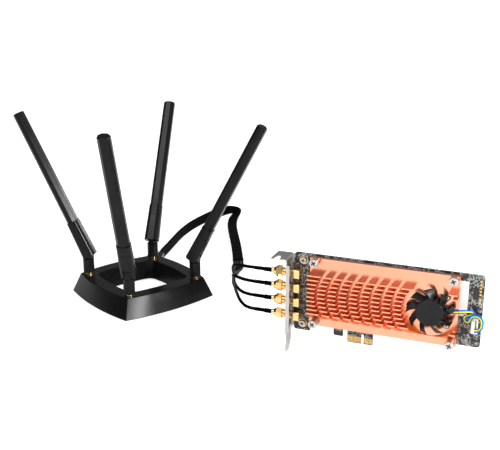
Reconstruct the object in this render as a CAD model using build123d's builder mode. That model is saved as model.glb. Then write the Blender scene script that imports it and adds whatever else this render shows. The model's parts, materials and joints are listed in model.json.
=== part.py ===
"""A half-height wireless network card with a finned cooler and fan, four coaxial leads in a
flat sleeve, and a square stand with four hinged antennas.

Frame: millimetres, +Z up. X runs along the card from its bracket to its far end, the component
side faces -Y. The origin is on the contact edge of the board, at the middle of the key slot and
of the board's thickness.
"""
import os
from math import cos, radians, sin, tan

from build123d import *

os.makedirs("parts", exist_ok=True)

# Circuit board
board_thickness = 1.57
board_left = -56.5
board_length = 145.3
board_top = 68.9
board_lower_edge = 12.1
board_corner = 2.5
foot_width = 13.4
foot_bottom = 4.1
tab_left = -23.4
tab_width = 7.6
tab_bottom = 3.9
tab_corner = 1.5
key_width = 1.9
key_depth = 8.0
contact_pitch = 1.0
contacts_before_key = 11
contacts_after_key = 7
contact_key_gap = 3.0
contact_margin = 0.65
contact_width = 0.7
contact_length = 4.8
contact_start = 0.6
contact_thickness = 0.05

# Bracket: one folded sheet
bracket_sheet = 0.9
bracket_gap = 1.8
bracket_width = 18.42
bracket_front = 14.2
bracket_top = 66.3
bracket_tip = -12.9
bracket_bend = 1.4
flange_length = 12.5
notch_radius = 2.2
notch_depth = 7.5
notch_from_face = 7.6
locating_hole = 0.9
lip_depth = 2.2
lip_bottom = 5.6
lip_top = 61.5
tongue_top = 4.8
tongue_width = 10.2
tongue_front = 12.0
tongue_taper = 2.4
tongue_bend_height = -4.0
tongue_offset = 0.9
tab_height = 6.4
tab_reach = 4.3

# Screws that hold the board to the bracket
bracket_screw_x = 7.5
bracket_screw_inset = 5.8
bracket_screw_head = 2.95
bracket_screw_head_height = 1.9
bracket_screw_shank = 1.25
bracket_screw_length = 4.2
screw_clearance = 0.15
head_taper = 12
ring_pad_radius = 3.6

# Antenna jacks on the card
jack_count = 4
jack_pitch = 11.77
jack_first = 17.6
jack_height = 4.0
jack_body_size = 7.0
jack_body_length = 5.3
jack_from_edge = 1.2
jack_thread_radius = 3.17
jack_reach = 8.1
jack_edge = 0.4
jack_hole_clearance = 0.2
jack_washer_radius = 4.6
jack_washer_thickness = 0.5
jack_nut_across = 8.0
jack_nut_thickness = 1.9
thread_clearance = 0.1

# Coaxial plugs, their coupling nuts and shrink boots
nut_gap = 3.0
nut_across = 8.0
nut_hex_length = 4.6
nut_cone_length = 2.2
nut_cone_radius = 2.9
nut_rear_wall = 1.9
nut_clearance = 0.2
nut_turns = (-12, -22, -22, -39)
plug_flange_radius = 3.0
plug_flange_thickness = 2.0
plug_body_radius = 2.1
plug_tail = 2.2
boot_radius = 1.8
boot_length = 6.2
boot_tail_radius = 1.5
boot_tail_length = 8.5

# Leads and the flat sleeve that gathers them
lead_radius = 1.3
lead_spacing = 2.7
sleeve_width = 10.8
sleeve_thickness = 3.2
sleeve_exit = 16.0
sleeve_lift = 0.1
sleeve_stations = 60
lay_start = 0.38
lay_end = 0.66
lead_exit = 20.0
lead_start = 7.0

# Cooler
sink_left = -41.6
sink_right = 72.2
sink_bottom = 12.6
sink_top = 68.3
sink_gap = 3.0
sink_plate = 3.7
sink_corner = 0.6
fin_height = 8.0
fin_count = 10
fin_pitch = 3.45
fin_thickness = 1.0
fin_middle = 40.6
channel_count = 8
channel_pitch = 8.42
channel_first = -34.4
channel_width = 2.2
channel_radius = 28.0
ramp_foot = 18.8
wire_gap_half = 11.0
sink_screw_inset_x = 4.2
sink_screw_inset_z = 2.6
sink_boss_radius = 2.4
sink_screw_shank = 1.25
sink_screw_head = 3.6
sink_screw_head_height = 1.8
sink_head_taper = 8
spring_length = 4.2
spring_radius = 2.4
spring_wire = 0.6
sink_nut_across = 5.0
sink_nut_thickness = 1.8

# Fan
fan_x = 52.6
fan_z = 39.8
fan_recess_radius = 21.0
fan_recess_depth = 0.5
fan_base_radius = 9.6
fan_base_thickness = 1.8
fan_arm_thickness = 1.5
fan_arm_width = 5.0
fan_screw_radius = 16.0
fan_arm_angles = (46, 174, -42)
fan_screw_head = 1.9
fan_screw_head_height = 1.1
fan_screw_shank = 0.9
fan_screw_length = 3.0
fan_running_gap = 0.5
hub_radius = 10.3
hub_height = 5.9
hub_wall = 1.0
hub_edge = 0.5
shaft_radius = 1.0
shaft_clearance = 0.05
shaft_seat = 1.35
bearing_radius = 3.0
bearing_height = 4.4
magnet_thickness = 1.4
magnet_clearance = 0.05
stator_pole_count = 6
stator_pole_width = 2.4
stator_radius = 7.1
stator_height = 3.0
blade_count = 9
blade_tip_radius = 17.6
blade_trim = 1.2
blade_thickness = 0.7
blade_chords = (5.4, 6.2, 7.0)
blade_pitches = (45, 38, 31)
blade_sweeps = (0, 10, 22)
blade_middle = 3.1

# Fan lead and its connector
wire_diameter = 0.7
wire_spacing = 0.72
wire_outlet_depth = 3.0
wire_outlet_height = 5.2
wire_outlet_z = 40.6
wire_lift = 0.15
header_from_end = 7.2
header_length = 4.6
header_bottom = 24.2
header_top = 35.0
header_height = 3.8
header_wall = 0.7
plug_clearance = 0.1
fan_plug_rise = 1.8
fan_plug_length = 1.9

# Chips under the cooler, small parts on the open end of the board
chip_thickness = 1.4
chip_places = ((-20.0, 47.0, 14.0), (8.0, 44.0, 17.0), (45.0, 42.0, 15.0))
open_chip_places = ((5.6, 54.5, 4.0, 9.0), (12.2, 24.0, 5.0, 5.0), (5.3, 17.6, 3.4, 2.6))
open_chip_thickness = 1.0
label_under_sink = 1.7
label_width = 7.3
label_bottom = 35.4
label_top = 63.0
label_thickness = 0.1
pad_radius = 0.85
pad_pitch = 2.54
pad_from_end = 2.5
pad_rows = ((64.0, 5), (49.9, 2))

# Antenna stand
table = bracket_tip
stand_x = -225.8
stand_y = 58.2
stand_turn = -29.0
stand_height = 18.0
stand_lift = 0.4
stand_half_bottom = 47.2
stand_half_top = 41.0
stand_bow = 5.0
opening_half_bottom = 27.5
opening_half_top = 30.5
opening_bow = 2.5
opening_corner = 7.0
stand_wall = 2.2
stand_fit = 0.7
bottom_plate_thickness = 1.6
foot_radius = 4.5
foot_recess = 0.6
foot_place = 38.0
boss_reach = 68.0
boss_width = 15.0
boss_edge = 0.6
grommet_length = 8.0
grommet_width = 6.4
grommet_height = 12.4
grommet_taper = 0.8
grommet_z = 7.0
grommet_corner = 2.2

# Antenna mounts on the stand
mount_radius = 50.0
mount_jack_radius = 3.1
mount_jack_rise = 4.8
mount_body = 7.0
mount_body_depth = 5.0
mount_nut_radius = 3.75
mount_nut_thickness = 1.5

# Antennas: collar, swivelling stem, hinge pin, sleeve and whip
collar_gap = 0.25
collar_radius = 5.1
collar_height = 6.2
collar_wall = 1.5
collar_rib_count = 14
collar_rib_radius = 0.55
collar_bore_clearance = 0.15
stem_gap = 0.2
stem_radius = 5.1
stem_pivot_radius = 2.0
stem_head_radius = 2.9
stem_head_height = 0.8
swivel_clearance = 0.15
pin_rise = 22.0
pin_radius = 1.1
pin_recess = 0.4
pin_clearance = 0.1
tongue_thickness = 5.4
hinge_tongue_width = 9.0
fork_drop = 4.6
fork_chamfer = 2.2
fork_gap = 0.35
arm_clearance = 0.5
sleeve_length = 31.0
sleeve_ring = 21.0
sleeve_ring_depth = 0.35
sleeve_base_width = 13.6
sleeve_base_depth = 12.0
sleeve_end_width = 12.4
sleeve_end_depth = 10.5
sleeve_corner = 4.0
arm_length = 140.0
whip_base_width = 11.4
whip_base_depth = 9.4
whip_tip_width = 10.8
whip_tip_depth = 8.8
whip_facet = 2.8
whip_edge = 0.8

# Each antenna: its corner of the stand, the way it leans and how far, in degrees
antennas = {
    "right": (45.0, 0.0, 28.2),
    "back": (135.0, 101.0, 32.0),
    "left": (225.0, 190.0, 25.0),
    "front": (315.0, -76.0, 21.7),
}

# Places that follow from the sizes above
board_right = board_left + board_length
header_left = board_right - header_from_end
bracket_inner = board_left - bracket_gap
bracket_outer = bracket_inner - bracket_sheet
jack_heights = [jack_first + jack_pitch * k for k in range(jack_count)]
jack_level = board_thickness / 2 + jack_height
jack_axes = [(jack_level, z) for z in jack_heights]
jack_body_left = board_left + jack_from_edge
jack_end = bracket_outer - jack_reach
jack_nut_outer = bracket_outer - jack_washer_thickness - jack_nut_thickness
nut_right = jack_nut_outer - nut_gap
nut_left = nut_right - nut_hex_length - nut_cone_length
plug_left = nut_left - plug_tail
boot_left = plug_left - boot_length
boot_end = boot_left - boot_tail_length
bracket_screws_at = [
    (board_left + bracket_screw_x, board_top - bracket_screw_inset),
    (board_left + bracket_screw_x, foot_bottom + bracket_screw_inset),
]
sink_screws_at = [
    (x, z)
    for x in (sink_left + sink_screw_inset_x, sink_right - sink_screw_inset_x)
    for z in (sink_bottom + sink_screw_inset_z, sink_top - sink_screw_inset_z)
]
sink_face = sink_gap + sink_plate
fan_floor = sink_face - fan_recess_depth
fan_screws_at = [
    (fan_x + fan_screw_radius * cos(radians(a)), fan_z + fan_screw_radius * sin(radians(a)))
    for a in fan_arm_angles
]
hub_bottom = fan_floor + fan_base_thickness + fan_running_gap
hub_top = hub_bottom + hub_height
cup_roof = hub_top - hub_wall
stand_base = table + stand_lift
stand_top = table + stand_height
pin_z = stand_top + pin_rise


def card_plane(height):
    """Plane parallel to the board, at a height above its component face, facing the viewer."""
    return Plane(
        origin=(0, -(board_thickness / 2 + height), 0), x_dir=(1, 0, 0), z_dir=(0, -1, 0)
    )


def end_plane(x):
    """Plane across the card at x, facing away from the card: local x is the distance from the
    board's middle towards the component side, local y is height."""
    return Plane(origin=(x, 0, 0), x_dir=(0, -1, 0), z_dir=(-1, 0, 0))


def stand_plane(z):
    """Level plane at height z, centred on the stand and turned with it."""
    turn = radians(stand_turn)
    return Plane(origin=(stand_x, stand_y, z), x_dir=(cos(turn), sin(turn), 0), z_dir=(0, 0, 1))


def finish(piece, name):
    """Label a finished piece and write it."""
    piece.part.label = name
    export_step(piece.part, f"parts/{name}.step")


# Circuit board: fibreglass with a foot by the bracket, a hook tab and the contact edge
contacts_left = -(contact_key_gap / 2 + (contacts_before_key - 1) * contact_pitch)
contacts_right = contact_key_gap / 2 + (contacts_after_key - 1) * contact_pitch
with BuildPart() as circuit_board:
    with BuildSketch(card_plane(-board_thickness)) as board_outline:
        with Locations((board_left, board_lower_edge)):
            Rectangle(board_length, board_top - board_lower_edge, align=Align.MIN)
        with Locations((board_left, foot_bottom)):
            Rectangle(foot_width, board_top - foot_bottom, align=Align.MIN)
        with Locations((tab_left, tab_bottom)):
            Rectangle(tab_width, board_top - tab_bottom, align=Align.MIN)
        with Locations((contacts_left - contact_margin, 0)):
            Rectangle(
                contacts_right - contacts_left + 2 * contact_margin, board_top, align=Align.MIN
            )
        Rectangle(key_width, 2 * key_depth, mode=Mode.SUBTRACT)
        fillet(board_outline.vertices().group_by(Axis.Y)[-1], board_corner)
        fillet(board_outline.vertices().group_by(Axis.X)[-1].sort_by(Axis.Y)[0], board_corner)
        fillet(board_outline.vertices().group_by(Axis.X)[0].sort_by(Axis.Y)[0], board_corner)
        tab_ends = board_outline.vertices().filter_by_position(Axis.X, tab_left, tab_left + tab_width)
        fillet(tab_ends.sort_by(Axis.Y)[:2], tab_corner)
    extrude(amount=board_thickness)
    with BuildSketch(card_plane(0)):
        with Locations(*bracket_screws_at):
            Circle(bracket_screw_shank + screw_clearance)
        with Locations(*sink_screws_at):
            Circle(sink_screw_shank + screw_clearance)
    extrude(amount=-board_thickness, mode=Mode.SUBTRACT)
finish(circuit_board, "circuit_board")

# Gold: contact fingers on both faces, ring pads under the bracket screws, test pads
finger_xs = [contacts_left + contact_pitch * k for k in range(contacts_before_key)]
finger_xs += [contact_key_gap / 2 + contact_pitch * k for k in range(contacts_after_key)]
finger_places = [(x, contact_start + contact_length / 2) for x in finger_xs]
pad_x = board_right - pad_from_end
pad_places = [(pad_x, top - pad_pitch * k) for top, count in pad_rows for k in range(count)]
with BuildPart() as gold_contacts:
    with BuildSketch(card_plane(0)):
        with Locations(*finger_places):
            Rectangle(contact_width, contact_length)
        with Locations(*pad_places):
            Circle(pad_radius)
        with Locations(*bracket_screws_at):
            Circle(ring_pad_radius)
            Circle(bracket_screw_shank + screw_clearance, mode=Mode.SUBTRACT)
    extrude(amount=contact_thickness)
    with BuildSketch(card_plane(-board_thickness)):
        with Locations(*finger_places):
            Rectangle(contact_width, contact_length)
    extrude(amount=-contact_thickness)
finish(gold_contacts, "gold_contacts")

# Bracket: face and flange from one bent profile, then the tongue, lips and board tabs
bracket_back = bracket_width - bracket_front
with BuildPart() as bracket:
    with BuildSketch(card_plane(-board_thickness / 2 - bracket_back)):
        with BuildLine():
            FilletPolyline(
                (bracket_outer - flange_length + bracket_sheet / 2, bracket_top - bracket_sheet / 2),
                (bracket_outer + bracket_sheet / 2, bracket_top - bracket_sheet / 2),
                (bracket_outer + bracket_sheet / 2, tongue_top),
                radius=bracket_bend,
            )
            offset(amount=bracket_sheet / 2, side=Side.BOTH, kind=Kind.INTERSECTION)
        make_face()
    extrude(amount=bracket_width)
    with BuildSketch(card_plane(-board_thickness / 2 + tongue_front)):
        with BuildLine():
            Polyline(
                (bracket_outer, tongue_top + bracket_bend),
                (bracket_outer, tongue_bend_height),
                (bracket_outer - tongue_offset, bracket_tip),
                (bracket_outer - tongue_offset + bracket_sheet, bracket_tip),
                (bracket_inner, tongue_bend_height),
                (bracket_inner, tongue_top + bracket_bend),
                close=True,
            )
        make_face()
    extrude(amount=-tongue_width)
    with BuildSketch(end_plane(bracket_inner + tongue_offset)):
        for corner, step in ((tongue_front, -1), (tongue_front - tongue_width, 1)):
            with BuildLine():
                Polyline(
                    (corner, bracket_tip + 2 * tongue_taper),
                    (corner + step * tongue_taper, bracket_tip),
                    (corner, bracket_tip),
                    close=True,
                )
            make_face()
    extrude(amount=2 * tongue_offset + 2 * bracket_sheet, mode=Mode.SUBTRACT)
    with BuildSketch(end_plane(bracket_inner + lip_depth)):
        with Locations((bracket_front, lip_bottom)):
            Rectangle(bracket_sheet, lip_top - lip_bottom, align=(Align.MAX, Align.MIN))
        with Locations((-bracket_back, lip_bottom)):
            Rectangle(bracket_sheet, lip_top - lip_bottom, align=(Align.MIN, Align.MIN))
    extrude(amount=lip_depth)
    with BuildSketch(card_plane(-board_thickness)):
        for x, z in bracket_screws_at:
            with Locations((bracket_inner, z)):
                Rectangle(x - bracket_inner + tab_reach, tab_height, align=(Align.MIN, Align.CENTER))
        with Locations(*bracket_screws_at):
            Circle(bracket_screw_shank + screw_clearance, mode=Mode.SUBTRACT)
    extrude(amount=-bracket_sheet)
    with BuildSketch(end_plane(bracket_inner)):
        with Locations(*jack_axes):
            Circle(jack_thread_radius + jack_hole_clearance)
    extrude(amount=bracket_sheet, mode=Mode.SUBTRACT)
    with BuildSketch(Plane.XY.offset(bracket_top)):
        with Locations((bracket_outer - notch_from_face, -bracket_front)):
            Rectangle(2 * notch_radius, 2 * (notch_depth - notch_radius))
        with Locations((bracket_outer - notch_from_face, notch_depth - notch_radius - bracket_front)):
            Circle(notch_radius)
        with Locations((bracket_outer - notch_from_face - notch_radius, bracket_back - notch_radius)):
            Circle(locating_hole)
    extrude(amount=-bracket_sheet, mode=Mode.SUBTRACT)
finish(bracket, "bracket")

# Bracket screws: pan heads on the ring pads, shanks through board and tabs
with BuildPart() as bracket_screws:
    with BuildSketch(card_plane(contact_thickness)):
        with Locations(*bracket_screws_at):
            Circle(bracket_screw_head)
    extrude(amount=bracket_screw_head_height, taper=head_taper)
    with BuildSketch(card_plane(contact_thickness)):
        with Locations(*bracket_screws_at):
            Circle(bracket_screw_shank)
    extrude(amount=-bracket_screw_length)
finish(bracket_screws, "bracket_screws")

# Card jacks: square bodies on the board, threaded barrels out through the bracket
with BuildPart() as card_jacks:
    with BuildSketch(end_plane(jack_body_left + jack_body_length)):
        with Locations(*jack_axes):
            Rectangle(2 * jack_height, jack_body_size)
    extrude(amount=jack_body_length)
    chamfer(card_jacks.edges().filter_by(Axis.X), jack_edge)
    with BuildSketch(end_plane(jack_body_left)):
        with Locations(*jack_axes):
            Circle(jack_thread_radius)
    extrude(amount=jack_body_left - jack_end)
finish(card_jacks, "card_jacks")

# Jack nuts: a plain washer and a hexagon nut on each barrel, outside the bracket
with BuildPart() as jack_nuts:
    with BuildSketch(end_plane(bracket_outer)):
        with Locations(*jack_axes):
            Circle(jack_washer_radius)
            Circle(jack_thread_radius + thread_clearance, mode=Mode.SUBTRACT)
    extrude(amount=jack_washer_thickness)
    with BuildSketch(end_plane(bracket_outer - jack_washer_thickness)):
        with Locations(*jack_axes):
            RegularPolygon(jack_nut_across / 2, 6, major_radius=False)
            Circle(jack_thread_radius + thread_clearance, mode=Mode.SUBTRACT)
    extrude(amount=jack_nut_thickness)
finish(jack_nuts, "jack_nuts")

# Coupling nuts: hexagon shells with a coned back, free to turn on their plugs
for number, (axis, turn) in enumerate(zip(reversed(jack_axes), nut_turns), start=1):
    with BuildPart() as coupling_nut:
        with BuildSketch(end_plane(nut_right)):
            with Locations(axis):
                RegularPolygon(nut_across / 2, 6, major_radius=False, rotation=turn)
        extrude(amount=nut_hex_length)
        with BuildSketch(end_plane(nut_right - nut_hex_length)):
            with Locations(axis):
                Circle(nut_across / 2)
        with BuildSketch(end_plane(nut_left)):
            with Locations(axis):
                Circle(nut_cone_radius)
        loft()
        with BuildSketch(end_plane(nut_right)):
            with Locations(axis):
                Circle(jack_thread_radius + nut_clearance)
        extrude(amount=nut_right - nut_left - nut_rear_wall, mode=Mode.SUBTRACT)
        with BuildSketch(end_plane(nut_right)):
            with Locations(axis):
                Circle(plug_body_radius + thread_clearance)
        extrude(amount=nut_right - nut_left, mode=Mode.SUBTRACT)
    finish(coupling_nut, f"coupling_nut_{number}")

# Coaxial plugs: a flange that the nut pulls against the jack, and a crimped tail
with BuildPart() as coax_plugs:
    with BuildSketch(end_plane(jack_end)):
        with Locations(*jack_axes):
            Circle(plug_flange_radius)
    extrude(amount=plug_flange_thickness)
    with BuildSketch(end_plane(jack_end)):
        with Locations(*jack_axes):
            Circle(plug_body_radius)
    extrude(amount=jack_end - plug_left)
finish(coax_plugs, "coax_plugs")

# Shrink boots: two sizes of tube over each crimp
with BuildPart() as lead_boots:
    with BuildSketch(end_plane(plug_left)):
        with Locations(*jack_axes):
            Circle(boot_radius)
    extrude(amount=boot_length)
    with BuildSketch(end_plane(boot_left)):
        with Locations(*jack_axes):
            Circle(boot_tail_radius)
    extrude(amount=boot_tail_length)
finish(lead_boots, "lead_boots")


# Cords: straight runs joined by arcs as large as the runs allow
def corner_radii(points):
    """Radius at each inner point: 0.45 of the shorter run over the tangent of half the turn."""
    radii = []
    for before, here, after in zip(points, points[1:], points[2:]):
        run_in = Vector(*here) - Vector(*before)
        run_out = Vector(*after) - Vector(*here)
        half_turn = radians(run_in.get_angle(run_out)) / 2
        radii.append(0.45 * min(run_in.length, run_out.length) / tan(half_turn))
    return radii


boss_turn = radians(stand_turn + 135)
boss_dir = Vector(cos(boss_turn), sin(boss_turn), 0)
boss_side = Vector(-sin(boss_turn), cos(boss_turn), 0)
stand_centre = Vector(stand_x, stand_y, 0)
outlet = stand_centre + boss_dir * (boss_reach + grommet_length) + Vector(0, 0, table)

# Flat sleeve: out of the stand on edge, back along the table, round a hairpin, and laid over flat
# on its way forward to the card
sleeve_edge_z = table + sleeve_width / 2 + sleeve_lift
sleeve_z = table + sleeve_thickness / 2 + sleeve_lift
sleeve_points = [
    tuple(outlet + Vector(0, 0, grommet_z)),
    tuple(outlet + boss_dir * sleeve_exit + Vector(0, 0, grommet_z)),
    (-254.8, 166.0, sleeve_edge_z + 0.6),
    (-260.2, 192.0, sleeve_edge_z),
    (-265.2, 221.0, sleeve_edge_z),
    (-267.0, 247.0, sleeve_edge_z),
    (-265.8, 270.0, sleeve_edge_z),
    (-263.0, 291.0, sleeve_edge_z),
    (-259.8, 308.0, sleeve_edge_z - 0.3),
    (-256.5, 322.0, sleeve_edge_z - 0.7),
    (-253.5, 332.0, sleeve_edge_z - 1.2),
    (-243.5, 332.5, sleeve_edge_z - 1.9),
    (-240.5, 322.5, sleeve_edge_z - 2.5),
    (-237.5, 304.0, sleeve_z + 0.4),
    (-230.5, 284.0, sleeve_z),
    (-219.5, 260.5, sleeve_z),
    (-206.0, 234.0, sleeve_z),
    (-190.0, 202.0, sleeve_z),
    (-176.5, 172.5, sleeve_z),
]
sleeve_radii = corner_radii(sleeve_points)
print("cable_sleeve radii", [round(r, 1) for r in sleeve_radii])


def sleeve_turn(share):
    """Turn of the sleeve about its own line: on edge at first, flat after it is laid over."""
    laid = (share - lay_start) / (lay_end - lay_start)
    laid = min(max(laid, 0), 1)
    return radians(90 * (1 - laid * laid * (3 - 2 * laid)))


with BuildPart() as cable_sleeve:
    with BuildLine(mode=Mode.PRIVATE) as sleeve_route:
        FilletPolyline(*sleeve_points, radius=sleeve_radii)
    for station in range(sleeve_stations + 1):
        share = station / sleeve_stations
        turn = sleeve_turn(share)
        ahead = sleeve_route.line % share
        level = ahead.cross(Vector(0, 0, 1)).normalized()
        across = level * cos(turn) - level.cross(ahead) * sin(turn)
        with BuildSketch(Plane(sleeve_route.line @ share, x_dir=across, z_dir=ahead)):
            SlotOverall(sleeve_width, sleeve_thickness)
    loft()
finish(cable_sleeve, "cable_sleeve")
print("cable_sleeve length", round(sum(e.length for e in sleeve_route.edges()), 1))

# Leads: side by side in the sleeve's mouth, then up to their boots, the first the highest
mouth = Vector(*sleeve_points[-1])
forward = (mouth - Vector(*sleeve_points[-2])).normalized()
sideways = Vector(0, 0, 1).cross(forward)
lead_level = -jack_level
lead_routes = [
    [(-103.5, -1.0, 51.8), (-111.5, 8.0, 48.0), (-119.0, 23.0, 40.0), (-127.0, 42.0, 29.0),
     (-136.0, 65.0, 17.2), (-145.0, 93.0, 7.4), (-153.4, 124.5, -2.4)],
    [(-103.5, -0.5, 40.6), (-111.5, 9.0, 38.0), (-119.5, 24.5, 32.0), (-128.5, 45.0, 22.8),
     (-138.5, 70.0, 12.2), (-148.5, 97.0, 2.4), (-156.5, 125.0, -6.0)],
    [(-103.0, 0.0, 29.3), (-110.0, 10.0, 27.8), (-117.5, 25.0, 23.2), (-127.0, 46.0, 15.8),
     (-138.0, 71.0, 7.4), (-150.0, 98.0, -1.4), (-159.4, 125.5, -8.4)],
    [(-102.5, -0.3, 20.0), (-108.5, 9.0, 20.0), (-115.5, 23.0, 16.8), (-125.0, 43.0, 10.6),
     (-136.5, 68.0, 3.2), (-150.0, 96.0, -4.8), (-162.2, 126.0, -10.2)],
]
for number, (route, z) in enumerate(zip(lead_routes, reversed(jack_heights)), start=1):
    shift = sideways * (lead_spacing * (jack_count / 2 + 0.5 - number))
    lead_end = mouth + shift
    lead_points = [(boot_end, lead_level, z), (boot_end - lead_start, lead_level, z), *route]
    lead_points += [tuple(lead_end + forward * lead_exit), tuple(lead_end)]
    lead_radii = corner_radii(lead_points)
    print(f"lead_{number} radii", [round(r, 1) for r in lead_radii])
    with BuildPart() as lead:
        with BuildLine() as lead_route:
            FilletPolyline(*lead_points, radius=lead_radii)
        with BuildSketch(Plane(lead_route.line @ 0, z_dir=lead_route.line % 0)):
            Circle(lead_radius)
        sweep()
    finish(lead, f"lead_{number}")
    print(f"lead_{number} length", round(sum(e.length for e in lead_route.edges()), 1))

# Cooler: plate with bosses, rows of fins and a ramp below them, then the arc channels and the
# round bay for the fan cut through both
fin_rows = [fin_middle + fin_pitch * (k - (fin_count - 1) / 2) for k in range(fin_count)]
channel_xs = [channel_first + channel_pitch * k + channel_radius for k in range(channel_count)]
with BuildPart() as heatsink:
    with BuildSketch(card_plane(sink_gap)) as plate_outline:
        with Locations((sink_left, sink_bottom)):
            Rectangle(sink_right - sink_left, sink_top - sink_bottom, align=Align.MIN)
        fillet(plate_outline.vertices(), sink_corner)
    extrude(amount=sink_plate)
    with BuildSketch(card_plane(0)):
        with Locations(*sink_screws_at):
            Circle(sink_boss_radius)
    extrude(amount=sink_gap)
    with BuildSketch(card_plane(sink_face)):
        for z in fin_rows:
            with Locations((sink_left, z)):
                Rectangle(sink_right - sink_left, fin_thickness, align=(Align.MIN, Align.CENTER))
    extrude(amount=fin_height)
    with BuildSketch(end_plane(sink_right)):
        with BuildLine():
            Polyline(
                (board_thickness / 2 + sink_face, ramp_foot),
                (board_thickness / 2 + sink_face + fin_height, fin_rows[0] - fin_thickness / 2),
                (board_thickness / 2 + sink_face, fin_rows[0]),
                close=True,
            )
        make_face()
    extrude(amount=sink_right - sink_left)
    with BuildSketch(card_plane(sink_face)):
        with Locations((fan_x, fan_z)):
            Circle(fan_recess_radius)
            Rectangle(board_length, 2 * wire_gap_half, align=(Align.MIN, Align.CENTER))
        for x in channel_xs:
            with BuildLine():
                CenterArc((x, fan_z), channel_radius, 90, 180)
                offset(amount=channel_width / 2, side=Side.BOTH, kind=Kind.INTERSECTION)
            make_face()
    extrude(amount=fin_height, mode=Mode.SUBTRACT)
    with BuildSketch(card_plane(sink_face)):
        with Locations((fan_x, fan_z)):
            Circle(fan_recess_radius)
    extrude(amount=-fan_recess_depth, mode=Mode.SUBTRACT)
    with BuildSketch(card_plane(0)):
        with Locations(*sink_screws_at):
            Circle(sink_screw_shank + screw_clearance)
    extrude(amount=sink_face, mode=Mode.SUBTRACT)
    with BuildSketch(card_plane(fan_floor)):
        with Locations(*fan_screws_at):
            Circle(fan_screw_shank + screw_clearance)
    extrude(amount=fan_arm_thickness - fan_screw_length, mode=Mode.SUBTRACT)
finish(heatsink, "heatsink")

# Cooler screws: pan heads standing on springs, with a nut behind the board
spring_top = sink_face + spring_length
sink_screw_end = -board_thickness - sink_nut_thickness
with BuildPart() as heatsink_screws:
    with BuildSketch(card_plane(spring_top)):
        with Locations(*sink_screws_at):
            Circle(sink_screw_head)
    extrude(amount=sink_screw_head_height, taper=sink_head_taper)
    with BuildSketch(card_plane(sink_screw_end)):
        with Locations(*sink_screws_at):
            Circle(sink_screw_shank)
    extrude(amount=spring_top - sink_screw_end)
finish(heatsink_screws, "heatsink_screws")

with BuildPart() as heatsink_springs:
    with BuildSketch(card_plane(sink_face)):
        with Locations(*sink_screws_at):
            Circle(spring_radius)
            Circle(spring_radius - spring_wire, mode=Mode.SUBTRACT)
    extrude(amount=spring_length)
finish(heatsink_springs, "heatsink_springs")

with BuildPart() as heatsink_nuts:
    with BuildSketch(card_plane(-board_thickness)):
        with Locations(*sink_screws_at):
            RegularPolygon(sink_nut_across / 2, 6, major_radius=False)
            Circle(sink_screw_shank + thread_clearance, mode=Mode.SUBTRACT)
    extrude(amount=-sink_nut_thickness)
finish(heatsink_nuts, "heatsink_nuts")

# Radio and switch chips on the board, with thermal pads up to the plate
with BuildPart() as wifi_chips:
    with BuildSketch(card_plane(0)):
        for x, z, size in chip_places:
            with Locations((x, z)):
                Rectangle(size, size)
    extrude(amount=chip_thickness)
finish(wifi_chips, "wifi_chips")

with BuildPart() as thermal_pads:
    with BuildSketch(card_plane(chip_thickness)):
        for x, z, size in chip_places:
            with Locations((x, z)):
                Rectangle(size, size)
    extrude(amount=sink_gap - chip_thickness)
finish(thermal_pads, "thermal_pads")

# Small parts, placed from the open end of the board, and the blank paper label
with BuildPart() as board_components:
    with BuildSketch(card_plane(0)):
        for from_end, z, width, height in open_chip_places:
            with Locations((board_right - from_end, z)):
                Rectangle(width, height)
    extrude(amount=open_chip_thickness)
finish(board_components, "board_components")

with BuildPart() as label:
    with BuildSketch(card_plane(0)):
        with Locations((sink_right - label_under_sink, label_bottom)):
            Rectangle(label_width, label_top - label_bottom, align=Align.MIN)
    extrude(amount=label_thickness)
finish(label, "label")

# Fan base: disc with three screwed arms, bearing tube and a block where the wires leave
wire_outlet_x = fan_x + fan_base_radius + wire_outlet_depth / 2
with BuildPart() as fan_base:
    with BuildSketch(card_plane(fan_floor)):
        with Locations((fan_x, fan_z)):
            Circle(fan_base_radius)
        with Locations((wire_outlet_x, wire_outlet_z)):
            Rectangle(
                2 * wire_outlet_depth, wire_outlet_height, align=(Align.MAX, Align.CENTER)
            )
    extrude(amount=fan_base_thickness)
    with BuildSketch(card_plane(fan_floor)):
        for angle in fan_arm_angles:
            with Locations(Location((fan_x, fan_z), angle)):
                Rectangle(fan_screw_radius, fan_arm_width, align=(Align.MIN, Align.CENTER))
        with Locations(*fan_screws_at):
            Circle(fan_arm_width / 2)
            Circle(fan_screw_shank + screw_clearance, mode=Mode.SUBTRACT)
    extrude(amount=fan_arm_thickness)
    with BuildSketch(card_plane(fan_floor)):
        with Locations((fan_x, fan_z)):
            Circle(bearing_radius)
    extrude(amount=fan_base_thickness + bearing_height)
    with BuildSketch(card_plane(fan_floor + fan_base_thickness / 2)):
        with Locations((fan_x, fan_z)):
            Circle(shaft_radius + shaft_clearance)
    extrude(amount=fan_base_thickness / 2 + bearing_height, mode=Mode.SUBTRACT)
finish(fan_base, "fan_base")

with BuildPart() as fan_screws:
    with BuildSketch(card_plane(fan_floor + fan_arm_thickness)):
        with Locations(*fan_screws_at):
            Circle(fan_screw_head)
    extrude(amount=fan_screw_head_height, taper=head_taper)
    with BuildSketch(card_plane(fan_floor + fan_arm_thickness)):
        with Locations(*fan_screws_at):
            Circle(fan_screw_shank)
    extrude(amount=-fan_screw_length)
finish(fan_screws, "fan_screws")

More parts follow.
